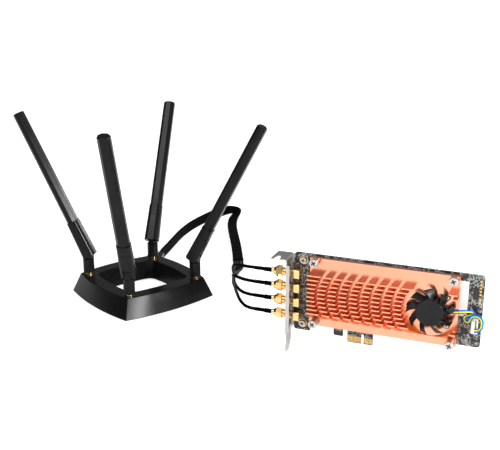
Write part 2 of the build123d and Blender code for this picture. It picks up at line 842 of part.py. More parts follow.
# Stator: wound poles round the bearing tube
stator_bottom = fan_floor + fan_base_thickness + (bearing_height - stator_height) / 2
with BuildPart() as fan_stator:
    with BuildSketch(card_plane(stator_bottom)):
        with Locations((fan_x, fan_z)):
            Circle((bearing_radius + stator_radius) / 2)
            with PolarLocations(0, stator_pole_count):
                Rectangle(stator_radius, stator_pole_width, align=(Align.MIN, Align.CENTER))
            Circle(bearing_radius + shaft_clearance, mode=Mode.SUBTRACT)
    extrude(amount=stator_height)
finish(fan_stator, "fan_stator")

# Rotor: a cup with its shaft, and swept blades that widen outwards and end on one circle
blade_root = hub_radius - hub_wall / 2
blade_end = blade_tip_radius + blade_trim
blade_radii = (blade_root, (blade_root + blade_end) / 2, blade_end)
blade_height = hub_bottom + blade_middle


def blade_plane(radius, sweep_angle, pitch):
    """Plane across a blade at a radius, its x along the blade's chord."""
    turn = radians(sweep_angle)
    outward = Vector(cos(turn), 0, sin(turn))
    along = Vector(-sin(turn), 0, cos(turn))
    chord = along * cos(radians(pitch)) + Vector(0, -1, 0) * sin(radians(pitch))
    middle = card_plane(blade_height).origin + Vector(fan_x, 0, fan_z)
    return Plane(middle + outward * radius, x_dir=chord, z_dir=outward)


fan_axis = Axis(card_plane(hub_bottom).origin + Vector(fan_x, 0, fan_z), (0, -1, 0))
with BuildPart() as blade:
    for radius, sweep_angle, pitch, chord in zip(
        blade_radii, blade_sweeps, blade_pitches, blade_chords
    ):
        with BuildSketch(blade_plane(radius, sweep_angle, pitch)):
            Rectangle(chord, blade_thickness)
    loft()
    with BuildSketch(card_plane(hub_bottom)):
        with Locations((fan_x, fan_z)):
            Circle(blade_tip_radius)
    extrude(amount=hub_height, mode=Mode.INTERSECT)
with BuildPart() as fan_rotor:
    with BuildSketch(card_plane(hub_bottom)):
        with Locations((fan_x, fan_z)):
            Circle(hub_radius)
    extrude(amount=hub_height)
    fillet(fan_rotor.faces().sort_by(Axis.Y)[0].edges(), hub_edge)
    for k in range(blade_count):
        add(blade.part.rotate(fan_axis, 360 / blade_count * k))
    with BuildSketch(card_plane(hub_bottom)):
        with Locations((fan_x, fan_z)):
            Circle(hub_radius - hub_wall)
    extrude(amount=hub_height - hub_wall, mode=Mode.SUBTRACT)
    with BuildSketch(card_plane(cup_roof)):
        with Locations((fan_x, fan_z)):
            Circle(shaft_radius)
    extrude(amount=fan_floor + shaft_seat - cup_roof)
finish(fan_rotor, "fan_rotor")

with BuildPart() as fan_magnet:
    with BuildSketch(card_plane(hub_bottom + hub_wall)):
        with Locations((fan_x, fan_z)):
            Circle(hub_radius - hub_wall - magnet_clearance)
            Circle(hub_radius - hub_wall - magnet_thickness, mode=Mode.SUBTRACT)
    extrude(amount=hub_height - 2 * hub_wall - magnet_clearance)
finish(fan_magnet, "fan_magnet")

# Fan connector: open-topped header on the board with the plug in it
with BuildPart() as fan_header:
    with BuildSketch(card_plane(0)):
        with Locations((header_left, header_bottom)):
            Rectangle(header_length, header_top - header_bottom, align=Align.MIN)
    extrude(amount=header_height)
    with BuildSketch(card_plane(header_wall)):
        with Locations((header_left + header_wall, header_bottom + header_wall)):
            Rectangle(
                header_length - 2 * header_wall,
                header_top - header_bottom - 2 * header_wall,
                align=Align.MIN,
            )
    extrude(amount=header_height, mode=Mode.SUBTRACT)
finish(fan_header, "fan_header")

plug_inset = header_wall + plug_clearance
fan_plug_right = header_left + plug_inset + fan_plug_length
fan_plug_top = header_height + fan_plug_rise
with BuildPart() as fan_plug:
    with BuildSketch(card_plane(header_wall)):
        with Locations((header_left + plug_inset, header_bottom + plug_inset)):
            Rectangle(
                fan_plug_length, header_top - header_bottom - 2 * plug_inset, align=Align.MIN
            )
    extrude(amount=fan_plug_top - header_wall)
finish(fan_plug, "fan_plug")



# Fan wires: four side by side over the plate's edge, looped beside the header, then into the plug
def beside(points, step):
    """A wire's route at a sideways step from the middle of the bundle, left of its way."""
    flat = [Vector(x, z) for x, z, level in points]
    runs = [(b - a).normalized() for a, b in zip(flat, flat[1:])]
    moved = []
    for (x, z, level), run_in, run_out in zip(points, [runs[0], *runs], [*runs, runs[-1]]):
        along = (run_in + run_out).normalized()
        reach = step / along.dot(run_in)
        moved.append((x - along.Y * reach, z + along.X * reach, level))
    return moved


wire_level = sink_face + wire_lift + wire_diameter / 2
plug_level = header_height + fan_plug_rise / 2
wire_loop = [
    (0.6, 6.6, 4.0), (0.6, 3.6, 2.2), (-5.3, 0.85, 1.8), (-4.9, -1.95, 2.6),
    (-1.9, -2.4, 4.2), (0.4, 3.6, 4.9), (7.8, 3.6, 4.9), (7.8, -7.8, plug_level),
]
bundle = [
    (wire_outlet_x, wire_outlet_z, wire_level),
    (wire_outlet_x + 5.8, wire_outlet_z, wire_level),
    (wire_outlet_x + 11.3, wire_outlet_z + 1.2, wire_level),
    *[(header_left + x, header_top + z, level) for x, z, level in wire_loop],
    (fan_plug_right, header_top + wire_loop[-1][1], plug_level),
]
# Radius of the bundle's middle at each bend, and +1 where it turns right, -1 where it turns left
wire_bends = [
    (9.0, -1), (9.0, 1), (1.78, 1), (1.78, 1), (1.78, -1),
    (1.78, -1), (1.78, -1), (3.4, 1), (4.6, 1), (4.6, 1),
]
for number, colour in enumerate(("black", "yellow", "green", "blue")):
    step = wire_spacing * (number - 1.5)
    with BuildPart() as wire:
        with BuildLine() as wire_route:
            FilletPolyline(
                *[(x, -board_thickness / 2 - level, z) for x, z, level in beside(bundle, step)],
                radius=[radius + side * step for radius, side in wire_bends],
            )
        with BuildSketch(Plane(wire_route.line @ 0, z_dir=wire_route.line % 0)):
            Circle(wire_diameter / 2)
        sweep()
    finish(wire, f"fan_wire_{colour}")


# Stand: a bowed square ring, flared to its foot, open in the middle
def bowed_square(half, bow, corner=0.0):
    """Sketch of a square whose sides bulge outwards by the bow, its corners rounded if asked."""
    corners = [(half, half), (-half, half), (-half, -half), (half, -half)]
    middles = [(0, half + bow), (-half - bow, 0), (0, -half - bow), (half + bow, 0)]
    with BuildSketch() as square:
        with BuildLine():
            for k in range(4):
                ThreePointArc(corners[k], middles[k], corners[(k + 1) % 4])
        make_face()
        if corner:
            fillet(square.vertices(), corner)
    return square.sketch


def outlet_plane(reach):
    """Upright plane across the cable outlet, at a distance from the stand's middle."""
    return Plane(stand_centre + boss_dir * reach + Vector(0, 0, table), boss_side, boss_dir)


mounts_at = {
    name: Vector(stand_x, stand_y, stand_top)
    + Vector(
        mount_radius * cos(radians(stand_turn + corner)),
        mount_radius * sin(radians(stand_turn + corner)),
        0,
    )
    for name, (corner, heading, lean) in antennas.items()
}
mount_points = [(p.X, p.Y) for p in mounts_at.values()]
cavity_top = stand_top - stand_wall
with BuildPart() as ring_cavity:
    for z, half in ((stand_base, stand_half_bottom), (stand_top, stand_half_top)):
        with BuildSketch(stand_plane(z)):
            add(bowed_square(half - stand_wall, stand_bow))
    loft()
    for z, half in ((stand_base, opening_half_bottom), (stand_top, opening_half_top)):
        with BuildSketch(stand_plane(z)):
            add(bowed_square(half + stand_wall, opening_bow, opening_corner))
    loft(mode=Mode.SUBTRACT)
    with BuildSketch(stand_plane(cavity_top)):
        Circle(2 * mount_radius)
    extrude(amount=stand_height, mode=Mode.SUBTRACT)
with BuildPart() as stand_shell:
    for z, half in ((stand_base, stand_half_bottom), (stand_top, stand_half_top)):
        with BuildSketch(stand_plane(z)):
            add(bowed_square(half, stand_bow))
    loft()
    with BuildSketch(stand_plane(stand_base)):
        with Locations(Location((0, 0), 135)):
            Rectangle(boss_reach, boss_width, align=(Align.MIN, Align.CENTER))
    extrude(amount=stand_height - stand_lift - boss_edge)
    add(ring_cavity.part, mode=Mode.SUBTRACT)
    for z, half in ((stand_base, opening_half_bottom), (stand_top, opening_half_top)):
        with BuildSketch(stand_plane(z)):
            add(bowed_square(half, opening_bow, opening_corner))
    loft(mode=Mode.SUBTRACT)
    with BuildSketch(Plane.XY.offset(cavity_top)):
        with Locations(*mount_points):
            Circle(mount_jack_radius + jack_hole_clearance)
    extrude(amount=stand_wall, mode=Mode.SUBTRACT)
    with BuildSketch(outlet_plane(boss_reach)):
        with Locations((0, grommet_z)):
            Rectangle(sleeve_thickness, sleeve_width)
    extrude(amount=mount_radius - boss_reach + stand_wall, mode=Mode.SUBTRACT)
finish(stand_shell, "stand_shell")

# Bottom plate and rubber feet
plate_z = table + foot_recess
with BuildPart() as stand_bottom_plate:
    with BuildSketch(stand_plane(plate_z)):
        add(bowed_square(stand_half_bottom - stand_wall - stand_fit, stand_bow))
        add(
            bowed_square(
                opening_half_bottom + stand_wall + stand_fit, opening_bow, opening_corner
            ),
            mode=Mode.SUBTRACT,
        )
    extrude(amount=bottom_plate_thickness)
finish(stand_bottom_plate, "stand_bottom_plate")

with BuildPart() as stand_feet:
    with BuildSketch(stand_plane(table)):
        with GridLocations(2 * foot_place, 2 * foot_place, 2, 2):
            Circle(foot_radius)
    extrude(amount=foot_recess)
finish(stand_feet, "stand_feet")

# Cable grommet: a tapered rubber relief on the outlet
with BuildPart() as cable_grommet:
    with BuildSketch(outlet_plane(boss_reach)):
        with Locations((0, grommet_z)):
            RectangleRounded(grommet_width, grommet_height, grommet_corner)
    with BuildSketch(outlet_plane(boss_reach + grommet_length)):
        with Locations((0, grommet_z)):
            RectangleRounded(
                grommet_width - grommet_taper, grommet_height - grommet_taper, grommet_corner
            )
    loft()
finish(cable_grommet, "cable_grommet")

# Stand jacks: bodies under the top wall, threaded barrels through it, round nuts on top
with BuildPart() as stand_jacks:
    with BuildSketch(Plane.XY.offset(cavity_top)):
        with Locations(*mount_points):
            Circle(mount_body / 2)
    extrude(amount=-mount_body_depth)
    with BuildSketch(Plane.XY.offset(cavity_top)):
        with Locations(*mount_points):
            Circle(mount_jack_radius)
    extrude(amount=stand_wall + mount_jack_rise)
finish(stand_jacks, "stand_jacks")

with BuildPart() as stand_jack_nuts:
    with BuildSketch(Plane.XY.offset(stand_top)):
        with Locations(*mount_points):
            Circle(mount_nut_radius)
            Circle(mount_jack_radius + thread_clearance, mode=Mode.SUBTRACT)
    extrude(amount=mount_nut_thickness)
finish(stand_jack_nuts, "stand_jack_nuts")

# Antenna collars: ribbed nuts on the stand jacks, with a hole for the stem's pivot
collar_bottom = stand_top + mount_nut_thickness + collar_gap
collar_top = collar_bottom + collar_height
with BuildPart() as antenna_collars:
    with BuildSketch(Plane.XY.offset(collar_bottom)):
        with Locations(*mount_points):
            Circle(collar_radius)
            with PolarLocations(collar_radius, collar_rib_count):
                Circle(collar_rib_radius, mode=Mode.SUBTRACT)
            Circle(mount_jack_radius + collar_bore_clearance, mode=Mode.SUBTRACT)
    extrude(amount=collar_height - collar_wall)
    with BuildSketch(Plane.XY.offset(collar_top - collar_wall)):
        with Locations(*mount_points):
            Circle(collar_radius)
            Circle(stem_pivot_radius + swivel_clearance, mode=Mode.SUBTRACT)
    extrude(amount=collar_wall)
finish(antenna_collars, "antenna_collars")

# Antennas
stem_bottom = collar_top + stem_gap
fork_corner = max(
    (fork_drop**2 + (sleeve_base_depth / 2 - fork_chamfer) ** 2) ** 0.5,
    ((fork_drop - fork_chamfer) ** 2 + (sleeve_base_depth / 2) ** 2) ** 0.5,
)
stem_shoulder = pin_z - fork_corner - arm_clearance
tongue_top_radius = hinge_tongue_width / 2
slot_width = tongue_thickness + 2 * fork_gap
slot_top = tongue_top_radius + arm_clearance
for name, (corner, heading, lean) in antennas.items():
    foot = mounts_at[name]
    pin_at = Vector(foot.X, foot.Y, pin_z)
    toward = Vector(cos(radians(heading)), sin(radians(heading)), 0)
    hinge = Vector(-sin(radians(heading)), cos(radians(heading)), 0)
    arm_dir = toward * sin(radians(lean)) + Vector(0, 0, 1) * cos(radians(lean))
    arm = Plane(pin_at, x_dir=hinge, z_dir=arm_dir)
    upright = Plane(pin_at, x_dir=toward, z_dir=-hinge)
    leaning = Plane(pin_at, x_dir=-arm.y_dir, z_dir=-hinge)

    with BuildPart() as stem:
        with BuildSketch(Plane.XY.offset(stem_bottom)):
            with Locations((foot.X, foot.Y)):
                Circle(stem_radius)
        extrude(amount=stem_shoulder - stem_bottom)
        with BuildSketch(upright):
            Circle(tongue_top_radius)
            Rectangle(hinge_tongue_width, pin_z - stem_shoulder, align=(Align.CENTER, Align.MAX))
            Circle(pin_radius + pin_clearance, mode=Mode.SUBTRACT)
        extrude(amount=tongue_thickness / 2, both=True)
        with BuildSketch(Plane.XY.offset(stem_bottom)):
            with Locations((foot.X, foot.Y)):
                Circle(stem_pivot_radius)
        extrude(amount=-(stem_gap + collar_wall + swivel_clearance))
        with BuildSketch(Plane.XY.offset(collar_top - collar_wall - swivel_clearance)):
            with Locations((foot.X, foot.Y)):
                Circle(stem_head_radius)
        extrude(amount=-stem_head_height)
    finish(stem, f"antenna_{name}_stem")

    with BuildPart() as hinge_pin:
        with BuildSketch(upright):
            Circle(pin_radius)
        extrude(amount=sleeve_base_width / 2 - pin_recess, both=True)
    finish(hinge_pin, f"antenna_{name}_hinge_pin")

    with BuildPart() as sleeve:
        with BuildSketch(arm.offset(-fork_drop)):
            RectangleRounded(sleeve_base_width, sleeve_base_depth, sleeve_corner)
        with BuildSketch(arm.offset(sleeve_length)):
            RectangleRounded(sleeve_end_width, sleeve_end_depth, sleeve_corner)
        loft()
        with BuildSketch(arm.offset(-fork_drop)):
            with Locations((0, tongue_top_radius + arm_clearance)):
                Rectangle(slot_width, 2 * sleeve_base_depth, align=(Align.CENTER, Align.MAX))
        extrude(amount=fork_drop + slot_top, mode=Mode.SUBTRACT)
        with BuildSketch(leaning):
            Circle(pin_radius + pin_clearance / 2)
            with BuildLine():
                Polyline(
                    (sleeve_base_depth / 2, -fork_drop),
                    (sleeve_base_depth / 2 - fork_chamfer, -fork_drop),
                    (sleeve_base_depth / 2, -fork_drop + fork_chamfer),
                    close=True,
                )
            make_face()
        extrude(amount=sleeve_base_width, both=True, mode=Mode.SUBTRACT)
        with BuildSketch(arm.offset(sleeve_ring)):
            Rectangle(2 * sleeve_base_width, 2 * sleeve_base_width)
            RectangleRounded(
                sleeve_end_width - sleeve_ring_depth, sleeve_end_depth - sleeve_ring_depth,
                sleeve_corner, mode=Mode.SUBTRACT,
            )
        extrude(amount=sleeve_ring_depth, mode=Mode.SUBTRACT)
    finish(sleeve, f"antenna_{name}_sleeve")

    with BuildPart() as whip:
        for reach, width, depth in (
            (sleeve_length, whip_base_width, whip_base_depth),
            (arm_length, whip_tip_width, whip_tip_depth),
        ):
            with BuildSketch(arm.offset(reach)) as section:
                Rectangle(width, depth)
                chamfer(section.vertices(), whip_facet)
        loft()
        chamfer(whip.faces().sort_by(Axis(pin_at, arm_dir))[-1].edges(), whip_edge)
    finish(whip, f"antenna_{name}_whip")
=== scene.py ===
# %% [markdown]
# # A wireless network card and its antenna stand
# The card is a black circuit board with a copper-coloured cooler, a small open fan and a folded
# steel bracket. Four coaxial leads run from gold jacks on the bracket into a flat sleeve, and the
# sleeve ends in a square stand with four hinged antennas. The solids come in at their real size
# and place, so this lesson is about their looks: edges, finishes, cords and light.

# %% Load the solids
import json
import math

import bmesh
import bpy
from mathutils import Matrix, Vector


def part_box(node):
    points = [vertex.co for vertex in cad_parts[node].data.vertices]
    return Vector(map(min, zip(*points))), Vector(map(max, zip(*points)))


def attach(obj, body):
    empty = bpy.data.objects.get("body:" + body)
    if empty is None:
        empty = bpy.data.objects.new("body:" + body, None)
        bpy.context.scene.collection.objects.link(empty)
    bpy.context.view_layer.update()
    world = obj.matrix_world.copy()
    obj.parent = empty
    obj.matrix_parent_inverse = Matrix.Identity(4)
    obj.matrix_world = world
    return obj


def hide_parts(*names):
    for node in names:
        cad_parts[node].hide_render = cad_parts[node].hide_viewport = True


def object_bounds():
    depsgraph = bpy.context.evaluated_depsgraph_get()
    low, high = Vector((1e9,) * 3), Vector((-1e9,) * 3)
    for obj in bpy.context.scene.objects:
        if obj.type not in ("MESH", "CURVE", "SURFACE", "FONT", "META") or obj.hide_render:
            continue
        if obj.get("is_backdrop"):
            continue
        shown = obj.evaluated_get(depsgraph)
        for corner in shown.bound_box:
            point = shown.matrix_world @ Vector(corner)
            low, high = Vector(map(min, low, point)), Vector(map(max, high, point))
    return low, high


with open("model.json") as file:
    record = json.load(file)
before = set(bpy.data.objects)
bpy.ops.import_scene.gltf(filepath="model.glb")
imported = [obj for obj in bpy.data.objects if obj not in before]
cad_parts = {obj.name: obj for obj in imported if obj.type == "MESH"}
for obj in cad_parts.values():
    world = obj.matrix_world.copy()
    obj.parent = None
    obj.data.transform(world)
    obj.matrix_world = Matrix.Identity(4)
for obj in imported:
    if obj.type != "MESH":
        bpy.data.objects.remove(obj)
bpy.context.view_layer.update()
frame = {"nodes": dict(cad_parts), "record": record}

record = frame["record"]
scene = bpy.context.scene
MM = 0.001
body_of = {n: b for b, names in record["behaviour"]["bodies"].items() for n in names}
slot_of = {row["node"]: row["material_slot"] for row in record["subparts"]}

# %% [markdown]
# ## Camera
# A camera could be matched by eye, but the card's standard sizes do it better: the contact edge,
# the bracket and the board's height are known, so their corners in the picture fix the lens, the
# place and the direction of the view.

# %% Camera
camera = bpy.data.objects.new("camera", bpy.data.cameras.new("camera"))
scene.collection.objects.link(camera)
scene.camera = camera
camera.data.sensor_width = 36.0
camera.data.lens = 63.05
camera.data.clip_start = 0.01
camera.data.clip_end = 20.0
looks_down, turned_left = 17.37, 21.78
camera.location = (0.1504, -0.6127, 0.2924)
camera.rotation_euler = (math.radians(90 - looks_down), 0, math.radians(turned_left))
print("camera at", tuple(round(v, 4) for v in camera.location))

# %% [markdown]
# ## Table
# The object stands on a white sweep. A curved backdrop could be modelled, but a plain pale plane is
# enough, because the room behind it is white too. The plane keeps the soft shadow. Its own glow
# lifts it to white where the camera looks at it, and less where metal mirrors it.

# %% Table
table_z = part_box("stand_feet")[0].z


def plain_material(name, colour, roughness, metallic=0.0, **sockets):
    """A Principled material with plain values on its own sockets."""
    material = bpy.data.materials.new(name)
    material.use_nodes = True
    shader = material.node_tree.nodes["Principled BSDF"]
    shader.inputs["Base Color"].default_value = (*colour, 1.0)
    shader.inputs["Roughness"].default_value = roughness
    shader.inputs["Metallic"].default_value = metallic
    for socket, value in sockets.items():
        shader.inputs[socket.replace("_", " ")].default_value = value
    return material


def calculate(tree, operation, *values):
    """A Math node fed by sockets or plain numbers; returns its output."""
    node = tree.nodes.new("ShaderNodeMath")
    node.operation = operation
    for socket, value in zip(node.inputs, values):
        if isinstance(value, (int, float)):
            socket.default_value = value
        else:
            tree.links.new(value, socket)
    return node.outputs[0]


floor_half = 6.0
floor_mesh = bpy.data.meshes.new("table")
floor_mesh.from_pydata(
    [(x * floor_half, y * floor_half, table_z) for x, y in ((-1, -1), (1, -1), (1, 1), (-1, 1))],
    [], [(0, 1, 2, 3)],
)
floor = bpy.data.objects.new("table", floor_mesh)
scene.collection.objects.link(floor)
table_white = plain_material("white table", (0.86, 0.86, 0.86), 0.9, Emission_Color=(1, 1, 1, 1))
tree = table_white.node_tree
path = tree.nodes.new("ShaderNodeLightPath").outputs
table_lift, mirrored_lift = 0.54, 0.2
lift = calculate(
    tree, "MAXIMUM",
    calculate(tree, "MULTIPLY", path["Is Camera Ray"], table_lift),
    calculate(tree, "MULTIPLY", path["Is Glossy Ray"], mirrored_lift),
)
tree.links.new(lift, tree.nodes["Principled BSDF"].inputs["Emission Strength"])
floor_mesh.materials.append(table_white)
floor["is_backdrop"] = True
print("table at", round(table_z, 4))

# %% [markdown]
# ## Room and panels
# What metal mirrors decides how it looks: upright faces mirror the white table, while top faces
# mirror the dimmer room above it. Walls could be built for that, but a tree in the world does it
# with less. Mirrored rays see a room that darkens upwards and to the left, and the camera sees
# white. Small bright panels give the black plastic its few sharp sheens.

# %% Room
room_light = 0.6
ceiling_tone, left_tone = 0.22, 0.08
horizon_low, horizon_high = math.sin(math.radians(4)), math.sin(math.radians(17))
far_left, near_left = -0.95, -0.3
world = bpy.data.worlds.new("white room")
scene.world = world
world.use_nodes = True
tree = world.node_tree


def eased(tree, value, start, stop, first, last):
    """A value that goes smoothly from first to last while a socket goes from start to stop."""
    node = tree.nodes.new("ShaderNodeMapRange")
    node.interpolation_type = "SMOOTHSTEP"
    ends = {"From Min": start, "From Max": stop, "To Min": first, "To Max": last}
    for label, number in ends.items():
        node.inputs[label].default_value = number
    tree.links.new(value, node.inputs["Value"])
    return node.outputs["Result"]


path = tree.nodes.new("ShaderNodeLightPath").outputs
way = tree.nodes.new("ShaderNodeSeparateXYZ")
tree.links.new(tree.nodes.new("ShaderNodeTexCoord").outputs["Generated"], way.inputs["Vector"])
upwards = eased(tree, way.outputs["Z"], horizon_low, horizon_high, 1.0, ceiling_tone)
leftwards = eased(tree, way.outputs["X"], far_left, near_left, left_tone, 1.0)
mirrored = tree.nodes.new("ShaderNodeMix")
mirrored.inputs["A"].default_value = room_light
tree.links.new(path["Is Glossy Ray"], mirrored.inputs["Factor"])
tree.links.new(calculate(tree, "MULTIPLY", upwards, leftwards), mirrored.inputs["B"])
seen = tree.nodes.new("ShaderNodeMix")
seen.inputs["B"].default_value = 1.0
looked_at = calculate(tree, "MAXIMUM", path["Is Camera Ray"], path["Is Transmission Ray"])
tree.links.new(looked_at, seen.inputs["Factor"])
tree.links.new(mirrored.outputs["Result"], seen.inputs["A"])
tree.links.new(seen.outputs["Result"], tree.nodes["Background"].inputs["Strength"])
tree.nodes["Background"].inputs["Color"].default_value = (1.0, 1.0, 1.0, 1.0)
print("room light", room_light)

# %% Panels


def panel_light(name, place, aim, size, power):
    """A soft rectangular lamp at a place, turned to face a point."""
    lamp = bpy.data.lights.new(name, "AREA")
    lamp.shape = "RECTANGLE"
    lamp.size, lamp.size_y = size
    lamp.energy = power
    holder = bpy.data.objects.new(name, lamp)
    scene.collection.objects.link(holder)
    holder.location = place
    holder.rotation_euler = (Vector(aim) - Vector(place)).to_track_quat("-Z", "Y").to_euler()


panel_light("right panel", (0.81, -0.19, 0.36), (-0.22, 0.03, 0.03), (0.36, 0.16), 12.0)
panel_light("left panel", (-0.42, -0.55, 0.9), (-0.2, 0.1, 0.0), (0.35, 0.35), 2.4)
panel_light("back panel", (0.1, 1.18, 0.17), (-0.27, 0.04, 0.04), (0.12, 0.26), 1.6)
panel_light("top panel", (-0.1, -0.1, 1.1), (-0.1, 0.05, 0.0), (0.9, 0.9), 1.4)
panel_light("front panel", (0.2, -1.3, 0.7), (0.0, 0.0, 0.03), (0.9, 0.6), 1.8)

# %% [markdown]
# ## Shared surface effects
# Moulded plastic, plating and brushed metal all vary a little over a surface. Each material could
# have its own noises, but they would all be alike. So two node groups make that once: one gives
# fine grain as a roughness and a height, the other lets a colour drift between two tones. Each
# material sets its own sizes on them.

# %% An empty node group


def shader_group(name, inputs, outputs):
    """An empty shader group with float inputs {name: value} or colour inputs, and its outputs."""
    group = bpy.data.node_groups.new(name, "ShaderNodeTree")
    group.interface.new_socket("Vector", in_out="INPUT", socket_type="NodeSocketVector")
    for label, value in inputs.items():
        kind = "NodeSocketColor" if isinstance(value, tuple) else "NodeSocketFloat"
        socket = group.interface.new_socket(label, in_out="INPUT", socket_type=kind)
        socket.default_value = value
    for label, kind in outputs.items():
        group.interface.new_socket(label, in_out="OUTPUT", socket_type=kind)
    entry = group.nodes.new("NodeGroupInput")
    leave = group.nodes.new("NodeGroupOutput")
    return group, entry, leave


# %% Fine grain
grain_group, entry, leave = shader_group(
    "Fine grain",
    {"Scale": 900.0, "Rough low": 0.3, "Rough high": 0.5},
    {"Roughness": "NodeSocketFloat", "Height": "NodeSocketFloat"},
)
fine = grain_group.nodes.new("ShaderNodeTexNoise")
fine.inputs["Detail"].default_value = 3.0
broad = grain_group.nodes.new("ShaderNodeTexNoise")
broad.inputs["Scale"].default_value = 45.0
broad.inputs["Detail"].default_value = 4.0
spread = grain_group.nodes.new("ShaderNodeMapRange")
spread.inputs["From Min"].default_value = 0.3
spread.inputs["From Max"].default_value = 0.7
links = grain_group.links
links.new(entry.outputs["Vector"], fine.inputs["Vector"])
links.new(entry.outputs["Vector"], broad.inputs["Vector"])
links.new(entry.outputs["Scale"], fine.inputs["Scale"])
links.new(broad.outputs["Fac"], spread.inputs["Value"])
links.new(entry.outputs["Rough low"], spread.inputs["To Min"])
links.new(entry.outputs["Rough high"], spread.inputs["To Max"])
links.new(spread.outputs["Result"], leave.inputs["Roughness"])
links.new(fine.outputs["Fac"], leave.inputs["Height"])
print("group:", grain_group.name)

# %% Tone drift
tone_group, entry, leave = shader_group(
    "Tone drift",
    {"Scale": 60.0, "Tone one": (0.1, 0.1, 0.1, 1), "Tone two": (0.2, 0.2, 0.2, 1)},
    {"Color": "NodeSocketColor"},
)
cloud = tone_group.nodes.new("ShaderNodeTexNoise")
cloud.inputs["Detail"].default_value = 5.0
blend = tone_group.nodes.new("ShaderNodeMix")
blend.data_type = "RGBA"
sharpen = tone_group.nodes.new("ShaderNodeMapRange")
sharpen.inputs["From Min"].default_value = 0.35
sharpen.inputs["From Max"].default_value = 0.65
links = tone_group.links
links.new(entry.outputs["Vector"], cloud.inputs["Vector"])
links.new(entry.outputs["Scale"], cloud.inputs["Scale"])
links.new(cloud.outputs["Fac"], sharpen.inputs["Value"])
links.new(sharpen.outputs["Result"], blend.inputs["Factor"])
links.new(entry.outputs["Tone one"], blend.inputs["A"])
links.new(entry.outputs["Tone two"], blend.inputs["B"])
links.new(blend.outputs["Result"], leave.inputs["Color"])
print("group:", tone_group.name)

# %% Groups in a material
grain_depth = 0.05 * MM


def object_coordinates(material, stretch=(1.0, 1.0, 1.0)):
    """Object coordinates of a material, stretched along the axes; returns the output socket."""
    tree = material.node_tree
    place = tree.nodes.new("ShaderNodeTexCoord")
    mapping = tree.nodes.new("ShaderNodeMapping")
    mapping.inputs["Scale"].default_value = stretch
    tree.links.new(place.outputs["Object"], mapping.inputs["Vector"])
    return mapping.outputs["Vector"]


def add_grain(material, scale, low, high, bump, stretch=(1.0, 1.0, 1.0)):
    """Give a material the shared grain: its roughness, and its height as a bump."""
    tree = material.node_tree
    shader = tree.nodes["Principled BSDF"]
    grain = tree.nodes.new("ShaderNodeGroup")
    grain.node_tree = grain_group
    grain.inputs["Scale"].default_value = scale
    grain.inputs["Rough low"].default_value = low
    grain.inputs["Rough high"].default_value = high
    raised = tree.nodes.new("ShaderNodeBump")
    raised.inputs["Strength"].default_value = bump
    raised.inputs["Distance"].default_value = grain_depth
    tree.links.new(object_coordinates(material, stretch), grain.inputs["Vector"])
    tree.links.new(grain.outputs["Roughness"], shader.inputs["Roughness"])
    tree.links.new(grain.outputs["Height"], raised.inputs["Height"])
    tree.links.new(raised.outputs["Normal"], shader.inputs["Normal"])
    return material


def add_tone(material, scale, one, two):
    """Let a material's colour drift between two tones."""
    tree = material.node_tree
    tone = tree.nodes.new("ShaderNodeGroup")
    tone.node_tree = tone_group
    tone.inputs["Scale"].default_value = scale
    tone.inputs["Tone one"].default_value = (*one, 1.0)
    tone.inputs["Tone two"].default_value = (*two, 1.0)
    tree.links.new(object_coordinates(material), tone.inputs["Vector"])
    tree.links.new(tone.outputs["Color"], tree.nodes["Principled BSDF"].inputs["Base Color"])
    return material


# %% [markdown]
# ## Finishes
# Each finish of the object is one material: anodised cooler, gold plating, bright steel, satin and
# glossy black plastic, cable jacket, solder mask and so on. Each is either a metal or a plastic, so
# two functions make them from a pair of tones and a pair of roughnesses. Black plastic in a white
# room turns grey where it is seen at a low angle, so most of the black ones have a low gloss.

# %% Metals and plastics
metal_drift, metal_grain = 60.0, 700.0
plastic_drift, plastic_grain = 40.0, 1400.0


def metal(name, one, two, low, high, bump=0.05, stretch=(1.0, 1.0, 1.0)):
    """A plated or bare metal with slight changes of tone and polish."""
    material = plain_material(name, one, low, 1.0)
    add_tone(material, metal_drift, one, two)
    return add_grain(material, metal_grain, low, high, bump, stretch)


def plastic(name, one, two, low, high, bump=0.25, gloss=0.5):
    """A moulded plastic or rubber with a fine grain; gloss is its specular level."""
    material = plain_material(name, one, low, Specular_IOR_Level=gloss)
    add_tone(material, plastic_drift, one, two)
    return add_grain(material, plastic_grain, low, high, bump)


